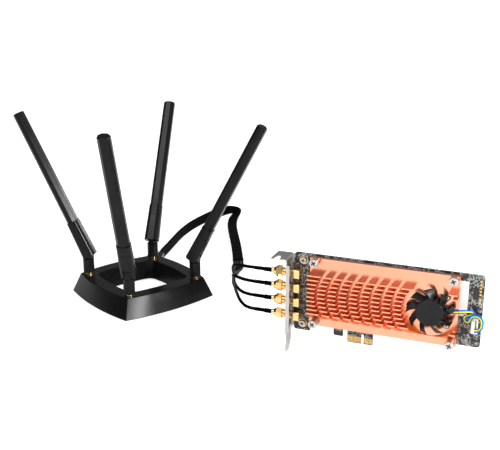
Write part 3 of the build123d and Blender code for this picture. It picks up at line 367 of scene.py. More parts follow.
# %% Finishes
deep, soft = (0.004, 0.004, 0.0045), (0.007, 0.007, 0.0075)
finishes = {
    "copper_anodised": metal(
        "copper anodising", (0.93, 0.385, 0.24), (0.95, 0.41, 0.265), 0.2, 0.28,
        bump=0.10, stretch=(0.15, 1.0, 2.0),
    ),
    "gold": metal("gold plating", (0.94, 0.66, 0.31), (0.90, 0.60, 0.26), 0.14, 0.24),
    "bracket_steel": metal(
        "bright steel", (0.58, 0.545, 0.525), (0.50, 0.47, 0.45), 0.26, 0.36, stretch=(1, 1, 0.1)
    ),
    "screw_steel": metal("nickel plating", (0.60, 0.58, 0.57), (0.52, 0.50, 0.49), 0.24, 0.34),
    "pin_black": metal("blackened pin", (0.05, 0.045, 0.04), (0.03, 0.03, 0.03), 0.4, 0.5),
    "magnet": metal("dull magnet", (0.16, 0.16, 0.17), (0.12, 0.12, 0.13), 0.5, 0.6),
    "copper_winding": metal("enamelled wire", (0.55, 0.22, 0.10), (0.48, 0.18, 0.07), 0.3, 0.4),
    "board_black": plastic("solder mask", (0.008, 0.008, 0.009), (0.013, 0.013, 0.014), 0.3, 0.42),
    "fan_black": plastic(
        "fan plastic", (0.006, 0.006, 0.007), (0.01, 0.01, 0.011), 0.28, 0.38, gloss=0.2
    ),
    "chip_black": plastic("chip resin", (0.012, 0.012, 0.013), (0.02, 0.02, 0.022), 0.5, 0.6),
    "thermal_pad": plastic("thermal pad", (0.40, 0.42, 0.46), (0.46, 0.48, 0.52), 0.7, 0.8),
    "label_white": plastic("blank label", (0.84, 0.84, 0.83), (0.87, 0.87, 0.86), 0.5, 0.6),
    "connector_white": plastic("nylon", (0.78, 0.75, 0.72), (0.82, 0.80, 0.78), 0.35, 0.45),
    "wire_black": plastic("black wire", deep, soft, 0.3, 0.4),
    "wire_yellow": plastic(
        "yellow wire", (0.95, 0.76, 0.0), (0.98, 0.80, 0.0), 0.3, 0.4, gloss=0.2
    ),
    "wire_green": plastic(
        "green wire", (0.0, 0.42, 0.30), (0.0, 0.48, 0.36), 0.3, 0.4, gloss=0.2
    ),
    "wire_blue": plastic(
        "blue wire", (0.0, 0.05, 0.72), (0.0, 0.07, 0.80), 0.3, 0.4, gloss=0.2
    ),
    "jacket_black": plastic(
        "cable jacket", (0.002, 0.002, 0.0022), (0.0035, 0.0035, 0.0038), 0.34, 0.42, gloss=0.004
    ),
    "rubber_black": plastic("rubber", deep, soft, 0.55, 0.7, gloss=0.08),
    "stand_black": plastic("stand plastic", deep, soft, 0.19, 0.25, bump=0.3, gloss=0.15),
    "antenna_black": plastic("antenna plastic", deep, soft, 0.2, 0.28, bump=0.12, gloss=0.16),
}
# Painted shade: the fin flanks get a deeper orange copy of the copper for light bounced between
# fins.
fin_flank_painted_shade = metal("copper fin flank painted shade", (0.78, 0.225, 0.001), (0.70, 0.19, 0.001), 0.26, 0.34)
contact_gold = metal("contact gold", (0.74, 0.46, 0.17), (0.66, 0.40, 0.13), 0.22, 0.34)
# Painted shade: a dark steel for the walls of the screw recesses, where the hollow is in shade.
recess_painted_shade = metal("screw recess painted shade", (0.22, 0.19, 0.14), (0.15, 0.13, 0.10), 0.4, 0.5)
solder = metal("solder", (0.70, 0.69, 0.67), (0.58, 0.57, 0.55), 0.25, 0.4)
ceramic = plastic("ceramic chip", (0.16, 0.11, 0.07), (0.22, 0.16, 0.11), 0.4, 0.5)
print("finishes:", len(finishes))

# %% [markdown]
# ## Printed marks on the board
# Where the board is bare it is covered in fine pale lines: tracks under the solder mask and white
# print around the parts. They are far too many to model. Thin bands of a noise give the lines,
# small cells give the dots, and a third noise leaves some patches plain. The back of the board has
# fainter marks than the front.

# %% Printed marks on the board
track_scale, dot_scale, patch_scale = 520.0, 620.0, 210.0
track_band, dot_reach, patch_level = 0.042, 0.27, 0.46
back_depth, back_fade = 0.5 * MM, 0.75
print_tone = (0.34, 0.36, 0.34, 1.0)
board_finish = finishes["board_black"]
tree = board_finish.node_tree
place = tree.nodes.new("ShaderNodeTexCoord").outputs["Object"]


def board_noise(kind, scale, output):
    """A texture on the board's own coordinates."""
    texture = tree.nodes.new(kind)
    texture.inputs["Scale"].default_value = scale
    tree.links.new(place, texture.inputs["Vector"])
    return texture.outputs[output]


wander = calculate(tree, "SUBTRACT", board_noise("ShaderNodeTexNoise", track_scale, "Fac"), 0.5)
tracks = calculate(tree, "LESS_THAN", calculate(tree, "ABSOLUTE", wander), track_band)
cells = board_noise("ShaderNodeTexVoronoi", dot_scale, "Distance")
dots = calculate(tree, "LESS_THAN", cells, dot_reach)
cover = board_noise("ShaderNodeTexNoise", patch_scale, "Fac")
patches = calculate(tree, "GREATER_THAN", cover, patch_level)
marks = calculate(tree, "MAXIMUM", tracks, dots)
depth = tree.nodes.new("ShaderNodeSeparateXYZ")
tree.links.new(place, depth.inputs["Vector"])
on_back = calculate(tree, "GREATER_THAN", depth.outputs["Y"], back_depth)
strength = calculate(tree, "SUBTRACT", 1.0, calculate(tree, "MULTIPLY", on_back, back_fade))
marks = calculate(tree, "MULTIPLY", marks, calculate(tree, "MULTIPLY", patches, strength))
shader = tree.nodes["Principled BSDF"]
mask_colour = shader.inputs["Base Color"].links[0].from_socket
printed = tree.nodes.new("ShaderNodeMix")
printed.data_type = "RGBA"
printed.inputs["B"].default_value = print_tone
tree.links.new(marks, printed.inputs["Factor"])
tree.links.new(mask_colour, printed.inputs["A"])
tree.links.new(printed.outputs["Result"], shader.inputs["Base Color"])
print("board marks mixed into:", board_finish.name)

# %% [markdown]
# ## Soft edges on the solids
# A real edge is never perfectly sharp: it catches a thin line of light. A shader could fake that,
# but a bevel holds in the exported mesh too. A solid's own mesh stays as it is, so each visible
# piece is a copy with its points merged, its flat faces joined and its edges bevelled, which then
# stands for the solid.

# %% Mend and bevel
merge_distance = 0.002 * MM
flat_limit, smooth_limit = math.radians(0.4), math.radians(32)
bevel_segments = 2


def mend_mesh(mesh):
    """Merge the loose triangles of a mesh, join flat faces and mark the sharp edges."""
    work = bmesh.new()
    work.from_mesh(mesh)
    bmesh.ops.remove_doubles(work, verts=work.verts, dist=merge_distance)
    bmesh.ops.dissolve_limit(work, angle_limit=flat_limit, verts=work.verts, edges=work.edges)
    for face in work.faces:
        face.smooth = True
    for edge in work.edges:
        edge.smooth = edge.is_manifold and edge.calc_face_angle(math.pi) < smooth_limit
    work.to_mesh(mesh)
    work.free()


def add_bevel(piece, width):
    """Round a piece's sharp edges a little."""
    bevel = piece.modifiers.new("soft edges", "BEVEL")
    bevel.width = width
    bevel.segments = bevel_segments
    bevel.limit_method = "ANGLE"
    bevel.angle_limit = smooth_limit
    bevel.harden_normals = True


# %% Settle and carve


def settle(piece, material, body, replaced=()):
    """Give a piece its material, its body and the solids that it stands for."""
    if piece.name not in scene.collection.objects:
        scene.collection.objects.link(piece)
    if material is not None:
        piece.data.materials.clear()
        piece.data.materials.append(material)
    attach(piece, body)
    if replaced:
        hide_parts(*replaced)
    return piece


def carve(piece, cutter):
    """Cut one piece by another, and keep the result as a plain mesh."""
    scene.collection.objects.link(piece)
    scene.collection.objects.link(cutter)
    cut = piece.modifiers.new("recess", "BOOLEAN")
    cut.operation = "DIFFERENCE"
    cut.solver = "EXACT"
    cut.material_mode = "TRANSFER"
    cut.object = cutter
    shown = piece.evaluated_get(bpy.context.evaluated_depsgraph_get())
    mesh = bpy.data.meshes.new_from_object(shown)
    piece.modifiers.clear()
    piece.data = mesh
    bpy.data.objects.remove(cutter)


# %% Soften


def soften(node, width, recess=None):
    """A copy of a solid with soft edges, in that solid's finish and on its body."""
    mesh = frame["nodes"][node].data.copy()
    mesh.name = f"{node}_soft"
    mend_mesh(mesh)
    mesh.materials.clear()
    mesh.materials.append(finishes[slot_of[node]])
    piece = bpy.data.objects.new(f"{node}_soft", mesh)
    if width:
        add_bevel(piece, width)
    if recess is not None:
        carve(piece, recess)
    return settle(piece, None, body_of[node], [node])


for node, solid in frame["nodes"].items():
    solid.data.materials.clear()
    solid.data.materials.append(finishes[slot_of[node]])
frame["nodes"]["gold_contacts"].data.materials[0] = contact_gold

# Bevel widths in millimetres; the thin fan wires get none
edge_widths = {
    "circuit_board": 0.12, "bracket": 0.2, "card_jacks": 0.2,
    "jack_nuts": 0.25, "coax_plugs": 0.25, "lead_boots": 0.35, "fan_base": 0.2, "fan_rotor": 0.12,
    "fan_header": 0.12, "fan_plug": 0.15, "board_components": 0.12, "stand_shell": 0.6,
    "cable_grommet": 0.6, "stand_jack_nuts": 0.2, "antenna_collars": 0.25,
    "fan_wire_black": 0.0, "fan_wire_yellow": 0.0, "fan_wire_green": 0.0, "fan_wire_blue": 0.0,
    **{f"coupling_nut_{n}": 0.3 for n in range(1, 5)},
    **{f"antenna_{a}_{p}": 0.35 for a in ("right", "back", "left", "front")
       for p in ("stem", "sleeve", "whip")},
}
for node, width in edge_widths.items():
    soften(node, width * MM)
print("softened pieces:", len(edge_widths))

# %% [markdown]
# ## Cooler
# The fins stand close together, so light bounces between their flanks and takes on a deeper orange
# with each bounce. With one finish all over, the fins came out paler than real ones, so the flanks
# get painted shade: a deeper orange copy of the copper than the plate and the fin tips have. The
# upper side of the top fin faces the open room and keeps the plate's copper, without painted shade.

# %% Cooler
cooler_edge = 0.14 * MM
plate_y = -7.7 * MM
flank_slope = 0.7
top_band = 2.0 * MM
cooler = soften("heatsink", cooler_edge)
cooler.data.materials.append(fin_flank_painted_shade)
flanks = [
    face for face in cooler.data.polygons
    if abs(face.normal.z) > flank_slope and face.center.y < plate_y
]
top_fin = max(face.center.z for face in flanks)
for face in flanks:
    # Every flank but the upper side of the top fin takes the painted shade.
    face.material_index = int(face.normal.z < 0 or face.center.z < top_fin - top_band)
print("fin flanks:", len(flanks))

# %% [markdown]
# ## Node trees for what repeats
# Screw recesses, springs, threads and the smallest parts on the board repeat many times. Copies
# could be placed by hand, but one Geometry Nodes tree for each kind, with named sizes, is easier to
# change. It runs on a mesh of plain points or patches, and the result is kept as a plain mesh.

# %% Trees and their nodes


def geometry_tree(name, inputs):
    """A Geometry Nodes tree with one mesh in, one out, and named inputs {name: (kind, value)}."""
    tree = bpy.data.node_groups.new(name, "GeometryNodeTree")
    tree.interface.new_socket("Geometry", in_out="INPUT", socket_type="NodeSocketGeometry")
    for label, (kind, value) in inputs.items():
        socket = tree.interface.new_socket(label, in_out="INPUT", socket_type=f"NodeSocket{kind}")
        if value is not None:
            socket.default_value = value
    tree.interface.new_socket("Geometry", in_out="OUTPUT", socket_type="NodeSocketGeometry")
    return tree, tree.nodes.new("NodeGroupInput").outputs, tree.nodes.new("NodeGroupOutput").inputs


def place_node(tree, kind, settings=(), **inputs):
    """A Geometry node with its settings, and its named inputs fed by sockets or plain values."""
    node = tree.nodes.new(f"GeometryNode{kind}")
    for label, value in settings:
        setattr(node, label, value)
    for label, value in inputs.items():
        socket = node.inputs[label.replace("_", " ")]
        if isinstance(value, bpy.types.NodeSocket):
            tree.links.new(value, socket)
        else:
            socket.default_value = value
    return node


# %% What a tree runs on


def grown(name, tree, base, values):
    """The mesh that a tree makes from a base mesh, as a new object with nothing live on it."""
    holder = bpy.data.objects.new(f"{name}_base", base)
    scene.collection.objects.link(holder)
    modifier = holder.modifiers.new("tree", "NODES")
    modifier.node_group = tree
    for item in tree.interface.items_tree:
        if item.in_out == "INPUT" and item.name in values:
            modifier[item.identifier] = values[item.name]
    shown = holder.evaluated_get(bpy.context.evaluated_depsgraph_get())
    mesh = bpy.data.meshes.new_from_object(shown)
    bpy.data.objects.remove(holder)
    return bpy.data.objects.new(name, mesh)


def point_mesh(name, places):
    """A mesh of single points."""
    mesh = bpy.data.meshes.new(name)
    mesh.from_pydata([tuple(p) for p in places], [], [])
    return mesh


def solid_boxes(node):
    """Lowest and highest corners of a node's separate solids, in a fixed order."""
    work = bmesh.new()
    work.from_mesh(frame["nodes"][node].data)
    bmesh.ops.remove_doubles(work, verts=work.verts, dist=merge_distance)
    left = set(work.verts)
    boxes = []
    while left:
        todo = [left.pop()]
        corners = []
        while todo:
            vert = todo.pop()
            corners.append(vert.co.copy())
            linked = {e.other_vert(vert) for e in vert.link_edges} & left
            left -= linked
            todo.extend(linked)
        boxes.append((Vector(map(min, *corners)), Vector(map(max, *corners))))
    work.free()
    return sorted(boxes, key=lambda box: tuple(round(v, 5) for v in box[0]))


# %% [markdown]
# ## Screws
# Each screw head has a cross recess, turned as the screw happened to stop. A dark cross painted on
# top would look flat, so the recess is real: a tree puts two crossed bars on each head, turned at
# random from a fixed seed, and they are cut out of the heads. The cut walls take the bars' dark
# steel, a painted shade for the hollow of the cross.

# %% Cross recess
cross_tree, sizes, leave = geometry_tree("Cross recess", {
    "Length": ("Float", 0.002), "Width": ("Float", 0.0006), "Depth": ("Float", 0.002),
    "Seed": ("Int", 1), "Material": ("Material", None),
})
bars = []
for order in (("Length", "Depth", "Width"), ("Width", "Depth", "Length")):
    size = cross_tree.nodes.new("ShaderNodeCombineXYZ")
    for label, socket in zip(order, size.inputs):
        cross_tree.links.new(sizes[label], socket)
    bars.append(place_node(cross_tree, "MeshCube", Size=size.outputs[0]))
cross = place_node(cross_tree, "MeshBoolean")
cross.operation = "UNION"
for bar in bars:
    cross_tree.links.new(bar.outputs["Mesh"], cross.inputs["Mesh 2"])
turn = cross_tree.nodes.new("FunctionNodeRandomValue")
turn.data_type = "FLOAT_VECTOR"
turn.inputs["Min"].default_value = (0.0, 0.0, 0.0)
turn.inputs["Max"].default_value = (0.0, math.pi, 0.0)
cross_tree.links.new(sizes["Seed"], turn.inputs["Seed"])
on_heads = place_node(
    cross_tree, "InstanceOnPoints", Points=sizes["Geometry"], Instance=cross.outputs["Mesh"],
    Rotation=turn.outputs["Value"],
)
real = place_node(cross_tree, "RealizeInstances", Geometry=on_heads.outputs[0])
done = place_node(cross_tree, "SetMaterial", Geometry=real.outputs[0], Material=sizes["Material"])
cross_tree.links.new(done.outputs[0], leave["Geometry"])

# %% Cut the screw heads
screw_edges = {"heatsink_screws": 0.35, "bracket_screws": 0.3, "fan_screws": 0.2}
# Sizes of a cross as shares of the head's width
cross_length, cross_width, cross_depth = 0.56, 0.15, 0.3
for seed, (node, edge) in enumerate(screw_edges.items(), start=3):
    boxes = solid_boxes(node)
    head = boxes[0][1].x - boxes[0][0].x
    heads = [((low.x + high.x) / 2, low.y, (low.z + high.z) / 2) for low, high in boxes]
    # The crosses carry the painted-shade steel, which the cut passes to the recess walls.
    crosses = grown(f"{node}_cross", cross_tree, point_mesh(f"{node}_heads", heads), {
        "Length": cross_length * head, "Width": cross_width * head, "Depth": cross_depth * head,
        "Seed": seed, "Material": recess_painted_shade,
    })
    soften(node, edge * MM, recess=crosses)
    print(node, "heads:", len(heads), "head width", round(head / MM, 2))

# %% [markdown]
# ## Springs and threads
# A coil is a spiral line with a round wire carried along it. The same tree winds the springs under
# the cooler's screws and the threads on the jacks, each along its own axis.

# %% Coil
coil_tree, sizes, leave = geometry_tree("Coil", {
    "Radius": ("Float", 0.002), "Wire": ("Float", 0.0003), "Turns": ("Float", 5.0),
    "Length": ("Float", 0.004), "Turn": ("Rotation", None), "Material": ("Material", None),
})
turn_steps, wire_sides = 24, 8
spiral = place_node(
    coil_tree, "CurveSpiral", Resolution=turn_steps, Rotations=sizes["Turns"],
    Start_Radius=sizes["Radius"], End_Radius=sizes["Radius"], Height=sizes["Length"],
)
ring = place_node(coil_tree, "CurvePrimitiveCircle", Resolution=wire_sides, Radius=sizes["Wire"])
wire = place_node(
    coil_tree, "CurveToMesh", Curve=spiral.outputs[0], Profile_Curve=ring.outputs[0], Fill_Caps=True
)
turned = place_node(coil_tree, "Transform", Geometry=wire.outputs[0], Rotation=sizes["Turn"])
placed = place_node(
    coil_tree, "InstanceOnPoints", Points=sizes["Geometry"], Instance=turned.outputs[0]
)
real = place_node(coil_tree, "RealizeInstances", Geometry=placed.outputs[0])
shaded = place_node(coil_tree, "SetShadeSmooth", Geometry=real.outputs[0])
done = place_node(coil_tree, "SetMaterial", Geometry=shaded.outputs[0], Material=sizes["Material"])
coil_tree.links.new(done.outputs[0], leave["Geometry"])

# %% Springs
root = "card_and_stand"
spring_wire, spring_turns = 0.32 * MM, 5.0
spring_boxes = solid_boxes("heatsink_springs")
spring_places = [((a.x + b.x) / 2, b.y, (a.z + b.z) / 2) for a, b in spring_boxes]
low, high = spring_boxes[0]
springs = grown("spring_coils", coil_tree, point_mesh("spring_places", spring_places), {
    "Radius": (high.x - low.x) / 2 - spring_wire, "Wire": spring_wire, "Turns": spring_turns,
    "Length": high.y - low.y, "Turn": (math.pi / 2, 0, 0), "Material": finishes["screw_steel"],
})
settle(springs, None, root, ["heatsink_springs"])
print("springs:", len(spring_places))

# %% Threads
thread_x, thread_length = -61.6 * MM, 3.0 * MM
thread_radius, thread_wire, thread_turns = 3.1 * MM, 0.2 * MM, 6.0
thread_places = [
    (thread_x, (a.y + b.y) / 2, (a.z + b.z) / 2) for a, b in solid_boxes("jack_nuts")
]
threads = grown("jack_threads", coil_tree, point_mesh("thread_places", thread_places), {
    "Radius": thread_radius, "Wire": thread_wire, "Turns": thread_turns, "Length": thread_length,
    "Turn": (0, -math.pi / 2, 0), "Material": finishes["gold"],
})
settle(threads, None, root)
print("threads:", len(thread_places))

# %% [markdown]
# ## Small parts on the board
# The open ends of the board are full of the smallest parts: resistors and capacitors with soldered
# ends, all square to the board. A tree scatters points over a few patches, keeps them apart, snaps
# them to a fine grid and gives each a part, lying or standing. The ends are marked by an attribute,
# so that they can get solder and the middles ceramic.

# %% One small part
part_tree, sizes, leave = geometry_tree("Strewn parts", {
    "Apart": ("Float", 0.0017), "Amount": ("Float", 400000.0), "Grid": ("Float", 0.0004),
    "Seed": ("Int", 1), "Body": ("Material", None), "Ends": ("Material", None),
})
body_size, end_size = (0.7 * MM, 0.5 * MM, 0.7 * MM), (0.3 * MM, 0.54 * MM, 0.74 * MM)
end_offset = 0.5 * MM
body = place_node(part_tree, "MeshCube", Size=body_size)
ends = []
for side in (-1, 1):
    end = place_node(part_tree, "MeshCube", Size=end_size)
    ends.append(place_node(
        part_tree, "Transform", Geometry=end.outputs["Mesh"],
        Translation=(side * end_offset, 0, 0),
    ))
both = place_node(part_tree, "JoinGeometry")
for end in ends:
    part_tree.links.new(end.outputs[0], both.inputs[0])
marked = place_node(
    part_tree, "StoreNamedAttribute", [("data_type", "BOOLEAN"), ("domain", "FACE")],
    Geometry=both.outputs[0], Name="end", Value=True,
)
whole_part = place_node(part_tree, "JoinGeometry")
part_tree.links.new(body.outputs["Mesh"], whole_part.inputs[0])
part_tree.links.new(marked.outputs[0], whole_part.inputs[0])

# %% Parts strewn over patches
spread = place_node(
    part_tree, "DistributePointsOnFaces", [("distribute_method", "POISSON")],
    Mesh=sizes["Geometry"], Distance_Min=sizes["Apart"], Density_Max=sizes["Amount"],
    Seed=sizes["Seed"],
)
where = part_tree.nodes.new("GeometryNodeInputPosition")
steps = part_tree.nodes.new("ShaderNodeCombineXYZ")
for axis in "XZ":
    part_tree.links.new(sizes["Grid"], steps.inputs[axis])
snap = part_tree.nodes.new("ShaderNodeVectorMath")
snap.operation = "SNAP"
part_tree.links.new(where.outputs[0], snap.inputs[0])
part_tree.links.new(steps.outputs[0], snap.inputs[1])
split = part_tree.nodes.new("ShaderNodeSeparateXYZ")
part_tree.links.new(snap.outputs[0], split.inputs[0])
depth = part_tree.nodes.new("ShaderNodeSeparateXYZ")
part_tree.links.new(where.outputs[0], depth.inputs[0])
joined = part_tree.nodes.new("ShaderNodeCombineXYZ")
part_tree.links.new(split.outputs["X"], joined.inputs["X"])
part_tree.links.new(depth.outputs["Y"], joined.inputs["Y"])
part_tree.links.new(split.outputs["Z"], joined.inputs["Z"])
snapped = place_node(
    part_tree, "SetPosition", Geometry=spread.outputs["Points"], Position=joined.outputs[0]
)
quarter = part_tree.nodes.new("FunctionNodeRandomValue")
quarter.data_type = "INT"
quarter.inputs["Min"].default_value = 0
quarter.inputs["Max"].default_value = 1
part_tree.links.new(sizes["Seed"], quarter.inputs["Seed"])
angle = part_tree.nodes.new("ShaderNodeCombineXYZ")
part_tree.links.new(
    calculate(part_tree, "MULTIPLY", quarter.outputs["Value"], math.pi / 2), angle.inputs["Y"]
)
strewn = place_node(
    part_tree, "InstanceOnPoints", Points=snapped.outputs[0], Instance=whole_part.outputs[0],
    Rotation=angle.outputs[0],
)
real = place_node(part_tree, "RealizeInstances", Geometry=strewn.outputs[0])
bodies = place_node(part_tree, "SetMaterial", Geometry=real.outputs[0], Material=sizes["Body"])
at_end = place_node(part_tree, "InputNamedAttribute", [("data_type", "BOOLEAN")], Name="end")
done = place_node(
    part_tree, "SetMaterial", Geometry=bodies.outputs[0], Material=sizes["Ends"],
    Selection=at_end.outputs["Attribute"],
)
part_tree.links.new(done.outputs[0], leave["Geometry"])
print("tree:", part_tree.name, "nodes", len(part_tree.nodes))

# %% Where the small parts go


def patch_mesh(name, patches, y):
    """Upright rectangles (x low, x high, z low, z high) in millimetres, at one depth."""
    corners, faces = [], []
    for left, right, bottom, top in patches:
        first = len(corners)
        for x, z in ((left, bottom), (right, bottom), (right, top), (left, top)):
            corners.append((x * MM, y, z * MM))
        faces.append(tuple(range(first, first + 4)))
    mesh = bpy.data.meshes.new(name)
    mesh.from_pydata(corners, [], faces)
    return mesh


part_lift = 0.2 * MM
front_apart, back_apart = 1.9 * MM, 4.5 * MM
faces_per_part = 18
board_low, board_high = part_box("circuit_board")
patches = {
    "front_parts": (board_low.y - part_lift, front_apart, [
        (-48.6, -43.4, 15.5, 57.5), (78.6, 81.0, 36.0, 62.5), (70.8, 74.0, 15.0, 33.0),
        (74.2, 80.5, 26.8, 34.5), (79.6, 81.2, 15.0, 34.0), (74.0, 81.0, 15.0, 20.0),
    ]),
    "back_parts": (board_high.y + part_lift, back_apart, [
        (-30.0, 10.0, 22.0, 60.0), (14.0, 60.0, 20.0, 58.0),
    ]),
}
for seed, (name, (y, apart, boxes)) in enumerate(patches.items(), start=7):
    strewn = grown(name, part_tree, patch_mesh(f"{name}_patches", boxes, y), {
        "Apart": apart, "Seed": seed, "Body": ceramic, "Ends": solder,
    })
    settle(strewn, None, root)
    print(name, len(strewn.data.polygons) // faces_per_part)

# %% [markdown]
# ## Fan hub
# The hub's face is plain apart from a small raised dot at its centre, where the mould was filled.
# It is one flat cone, made in place and turned to face forwards, and it spins with the rotor.

# %% Fan hub
dot_foot, dot_top, dot_rise = 0.65 * MM, 0.45 * MM, 0.3 * MM
dot_sides = 24
rotor_low, rotor_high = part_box("fan_rotor")
hub_centre = ((rotor_low.x + rotor_high.x) / 2, rotor_low.y, (rotor_low.z + rotor_high.z) / 2)
work = bmesh.new()
bmesh.ops.create_cone(
    work, cap_ends=True, segments=dot_sides, radius1=dot_foot, radius2=dot_top, depth=dot_rise,
    matrix=Matrix.Translation(hub_centre) @ Matrix.Rotation(math.pi / 2, 4, "X"),
)
dot_mesh = bpy.data.meshes.new("hub_dot")
work.to_mesh(dot_mesh)
work.free()
hub_dot = bpy.data.objects.new("hub_dot", dot_mesh)
settle(hub_dot, finishes["fan_black"], body_of["fan_rotor"])
print("hub centre", [round(v / MM, 2) for v in hub_centre])

# %% [markdown]
# ## Leads
# Four coaxial leads leave the mouth of the flat sleeve side by side and rise to the jacks. A line
# of straight runs and arcs would look like bent wire. So each lead is one NURBS line with
# listed points, which bends as cable does, and a round bevel gives it its thickness.

# %% Routes of the leads
lead_radius = 1.3 * MM
# Heights of the jacks and points of the routes, in millimetres
jack_rows = (52.91, 41.14, 29.37, 17.6)
lead_points = [
    [(-103.5, -1.0, 51.8), (-111.5, 8.0, 48.0), (-119.0, 23.0, 40.0), (-127.0, 42.0, 29.0),
     (-136.0, 65.0, 17.2), (-145.0, 93.0, 7.4), (-153.4, 124.5, -2.4),
     (-164.5, 156.0, -11.2), (-174.5, 177.8, -11.2)],
    [(-103.5, -0.5, 40.6), (-111.5, 9.0, 38.0), (-119.5, 24.5, 32.0), (-128.5, 45.0, 22.8),
     (-138.5, 70.0, 12.2), (-148.5, 97.0, 2.4), (-156.5, 125.0, -6.0),
     (-167.0, 154.9, -11.2), (-177.0, 176.7, -11.2)],
    [(-103.0, 0.0, 29.3), (-110.0, 10.0, 27.8), (-117.5, 25.0, 23.2), (-127.0, 46.0, 15.8),
     (-138.0, 71.0, 7.4), (-150.0, 98.0, -1.4), (-159.4, 125.5, -8.4),
     (-169.4, 153.8, -11.2), (-179.4, 175.5, -11.2)],
    [(-102.5, -0.3, 20.0), (-108.5, 9.0, 20.0), (-115.5, 23.0, 16.8), (-125.0, 43.0, 10.6),
     (-136.5, 68.0, 3.2), (-150.0, 96.0, -4.8), (-162.2, 126.0, -10.2),
     (-171.9, 152.6, -11.2), (-181.9, 174.4, -11.2)],
]
print("points of the leads:", [len(route) for route in lead_points])

# %% Lines and their lengths


def smooth_line(name, points):
    """A curve of one NURBS spline with the given points, in millimetres."""
    curve = bpy.data.curves.new(name, "CURVE")
    curve.dimensions = "3D"
    curve.resolution_u = 12
    spline = curve.splines.new("NURBS")
    spline.points.add(len(points) - 1)
    for point, place in zip(spline.points, points):
        point.co = (*(Vector(place) * MM), 1.0)
    spline.order_u = 3
    spline.use_endpoint_u = True
    return bpy.data.objects.new(name, curve)


def line_points(line):
    """Points along a curve that has no bevel, as Blender evaluates it."""
    scene.collection.objects.link(line)
    shown = line.evaluated_get(bpy.context.evaluated_depsgraph_get())
    mesh = bpy.data.meshes.new_from_object(shown)
    places = [v.co.copy() for v in mesh.vertices]
    bpy.data.meshes.remove(mesh)
    scene.collection.objects.unlink(line)
    return places


def line_length(places):
    """Length of a line through points."""
    return sum((b - a).length for a, b in zip(places, places[1:]))


# %% Leads
lead_y = -4.785
boot_end = -88.3
lead_start = 7.0
for number, (route, z) in enumerate(zip(lead_points, jack_rows), start=1):
    points = [(boot_end, lead_y, z), (boot_end - lead_start, lead_y, z), *route][::-1]
    lead = smooth_line(f"lead_{number}_cable", points)
    length = line_length(line_points(lead))
    lead.data.bevel_depth = lead_radius
    lead.data.bevel_resolution = 5
    settle(lead, finishes["jacket_black"], root, [f"lead_{number}"])
    print(lead.name, "length", round(length, 4))

# %% [markdown]
# ## Sleeve
# The sleeve holds the four leads side by side under one skin, so its section has four ridges. It
# leaves the stand on edge, turns back in a hairpin and lies down flat. A bevelled curve would be
# round and couldn't turn over like that, so a ridged section is swept along the line by hand and
# turns about it on the way. The mouth flares a little and is open around the leads.

# %% Route and section of the sleeve
sleeve_points = [
    (-246.75, 131.26, -5.9), (-251.16, 146.64, -5.9), (-254.8, 166.0, -6.8),
    (-260.2, 192.0, -7.4), (-265.2, 221.0, -7.4), (-267.0, 247.0, -7.4),
    (-265.8, 270.0, -7.4), (-263.0, 291.0, -7.4), (-259.8, 308.0, -7.7),
    (-256.5, 322.0, -8.1), (-253.5, 332.0, -8.6), (-243.5, 332.5, -9.3),
    (-240.5, 322.5, -9.9), (-237.5, 304.0, -10.8), (-230.5, 284.0, -11.2),
    (-219.5, 260.5, -11.2), (-206.0, 234.0, -11.2), (-190.0, 202.0, -11.2),
    (-176.5, 172.5, -11.2),
]
sleeve_width = 10.8 * MM
lead_count = 4
lead_pitch = 2.53 * MM
ridge_radius = 1.6 * MM
valley_height = 0.9 * MM
section_steps = 72
lay_start, lay_end = 0.38, 0.66
flare_length = 5.0 * MM
flare_wide, flare_high = 0.07, 0.05
mouth_scale = 0.94
mouth_depth = 2.5 * MM


def ridged_section():
    """Points round the sleeve's section: four leads side by side under one skin."""
    outline = []
    first, last = -lead_count // 2, lead_count // 2 - 1
    outer_lead = (lead_count - 1) / 2 * lead_pitch
    for step in range(section_steps):
        angle = 2 * math.pi * step / section_steps
        across = sleeve_width / 2 * math.cos(angle)
        nearest = min(max(round(across / lead_pitch - 0.5), first), last) + 0.5
        offset = across - nearest * lead_pitch
        height = math.sqrt(max(ridge_radius ** 2 - offset ** 2, 0.0))
        if abs(across) < outer_lead:
            height = max(height, valley_height)
        outline.append((across, math.copysign(height, math.sin(angle))))
    return outline


# %% Sweep of the sleeve


def smooth_step(value):
    """From 0 to 1 with a soft start and stop."""
    value = min(max(value, 0.0), 1.0)
    return value * value * (3 - 2 * value)


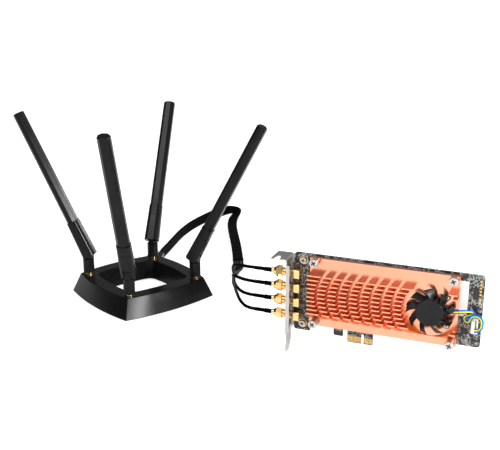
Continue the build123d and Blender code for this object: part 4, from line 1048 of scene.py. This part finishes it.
def sweep_sleeve(name, places, outline):
    """A closed mesh that carries the section along a line: on edge at first, then laid flat."""
    work = bmesh.new()
    whole = line_length(places)
    run = 0.0
    rings = []

    def add_ring(place, across, up, wide, high):
        places_round = [place + across * x * wide + up * z * high for x, z in outline]
        rings.append([work.verts.new(corner) for corner in places_round])

    for index, place in enumerate(places):
        run += (place - places[max(index - 1, 0)]).length
        ahead = places[min(index + 1, len(places) - 1)] - places[max(index - 1, 0)]
        ahead.normalize()
        level = ahead.cross(Vector((0, 0, 1))).normalized()
        turn = math.pi / 2 * (1 - smooth_step((run / whole - lay_start) / (lay_end - lay_start)))
        across = level * math.cos(turn) - level.cross(ahead) * math.sin(turn)
        up = across.cross(ahead)
        flare = smooth_step(1 - (whole - run) / flare_length)
        wide, high = 1 + flare_wide * flare, 1 + flare_high * flare
        add_ring(place, across, up, wide, high)
    add_ring(place, across, up, wide * mouth_scale, high * mouth_scale)
    add_ring(place - ahead * mouth_depth, across, up, wide * mouth_scale, high * mouth_scale)
    for ring, after in zip(rings, rings[1:]):
        for k in range(len(outline)):
            nxt = (k + 1) % len(outline)
            work.faces.new((ring[k], ring[nxt], after[nxt], after[k])).smooth = True
    rim_rings = rings[-3:-1]
    for ring in rim_rings:
        for k in range(len(outline)):
            work.edges.get((ring[k], ring[k - 1])).smooth = False
    work.faces.new(rings[0])
    work.faces.new(rings[-1])
    bmesh.ops.recalc_face_normals(work, faces=work.faces)
    mesh = bpy.data.meshes.new(name)
    work.to_mesh(mesh)
    work.free()
    return bpy.data.objects.new(name, mesh)


# %% Sleeve
sleeve_line = line_points(smooth_line("sleeve_line", sleeve_points))
sleeve = sweep_sleeve("flat_sleeve", sleeve_line, ridged_section())
settle(sleeve, finishes["jacket_black"], root, ["cable_sleeve"])
print("sleeve length", round(line_length(sleeve_line), 4))

# %% [markdown]
# ## Finish
# The view transform is the plain one, which shows a colour about as it is written. The box of the
# dressed object is printed.

# %% Finish
scene.view_settings.view_transform = "Standard"
low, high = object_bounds()
print("visual box", [round(v, 4) for v in (*low, *high)])
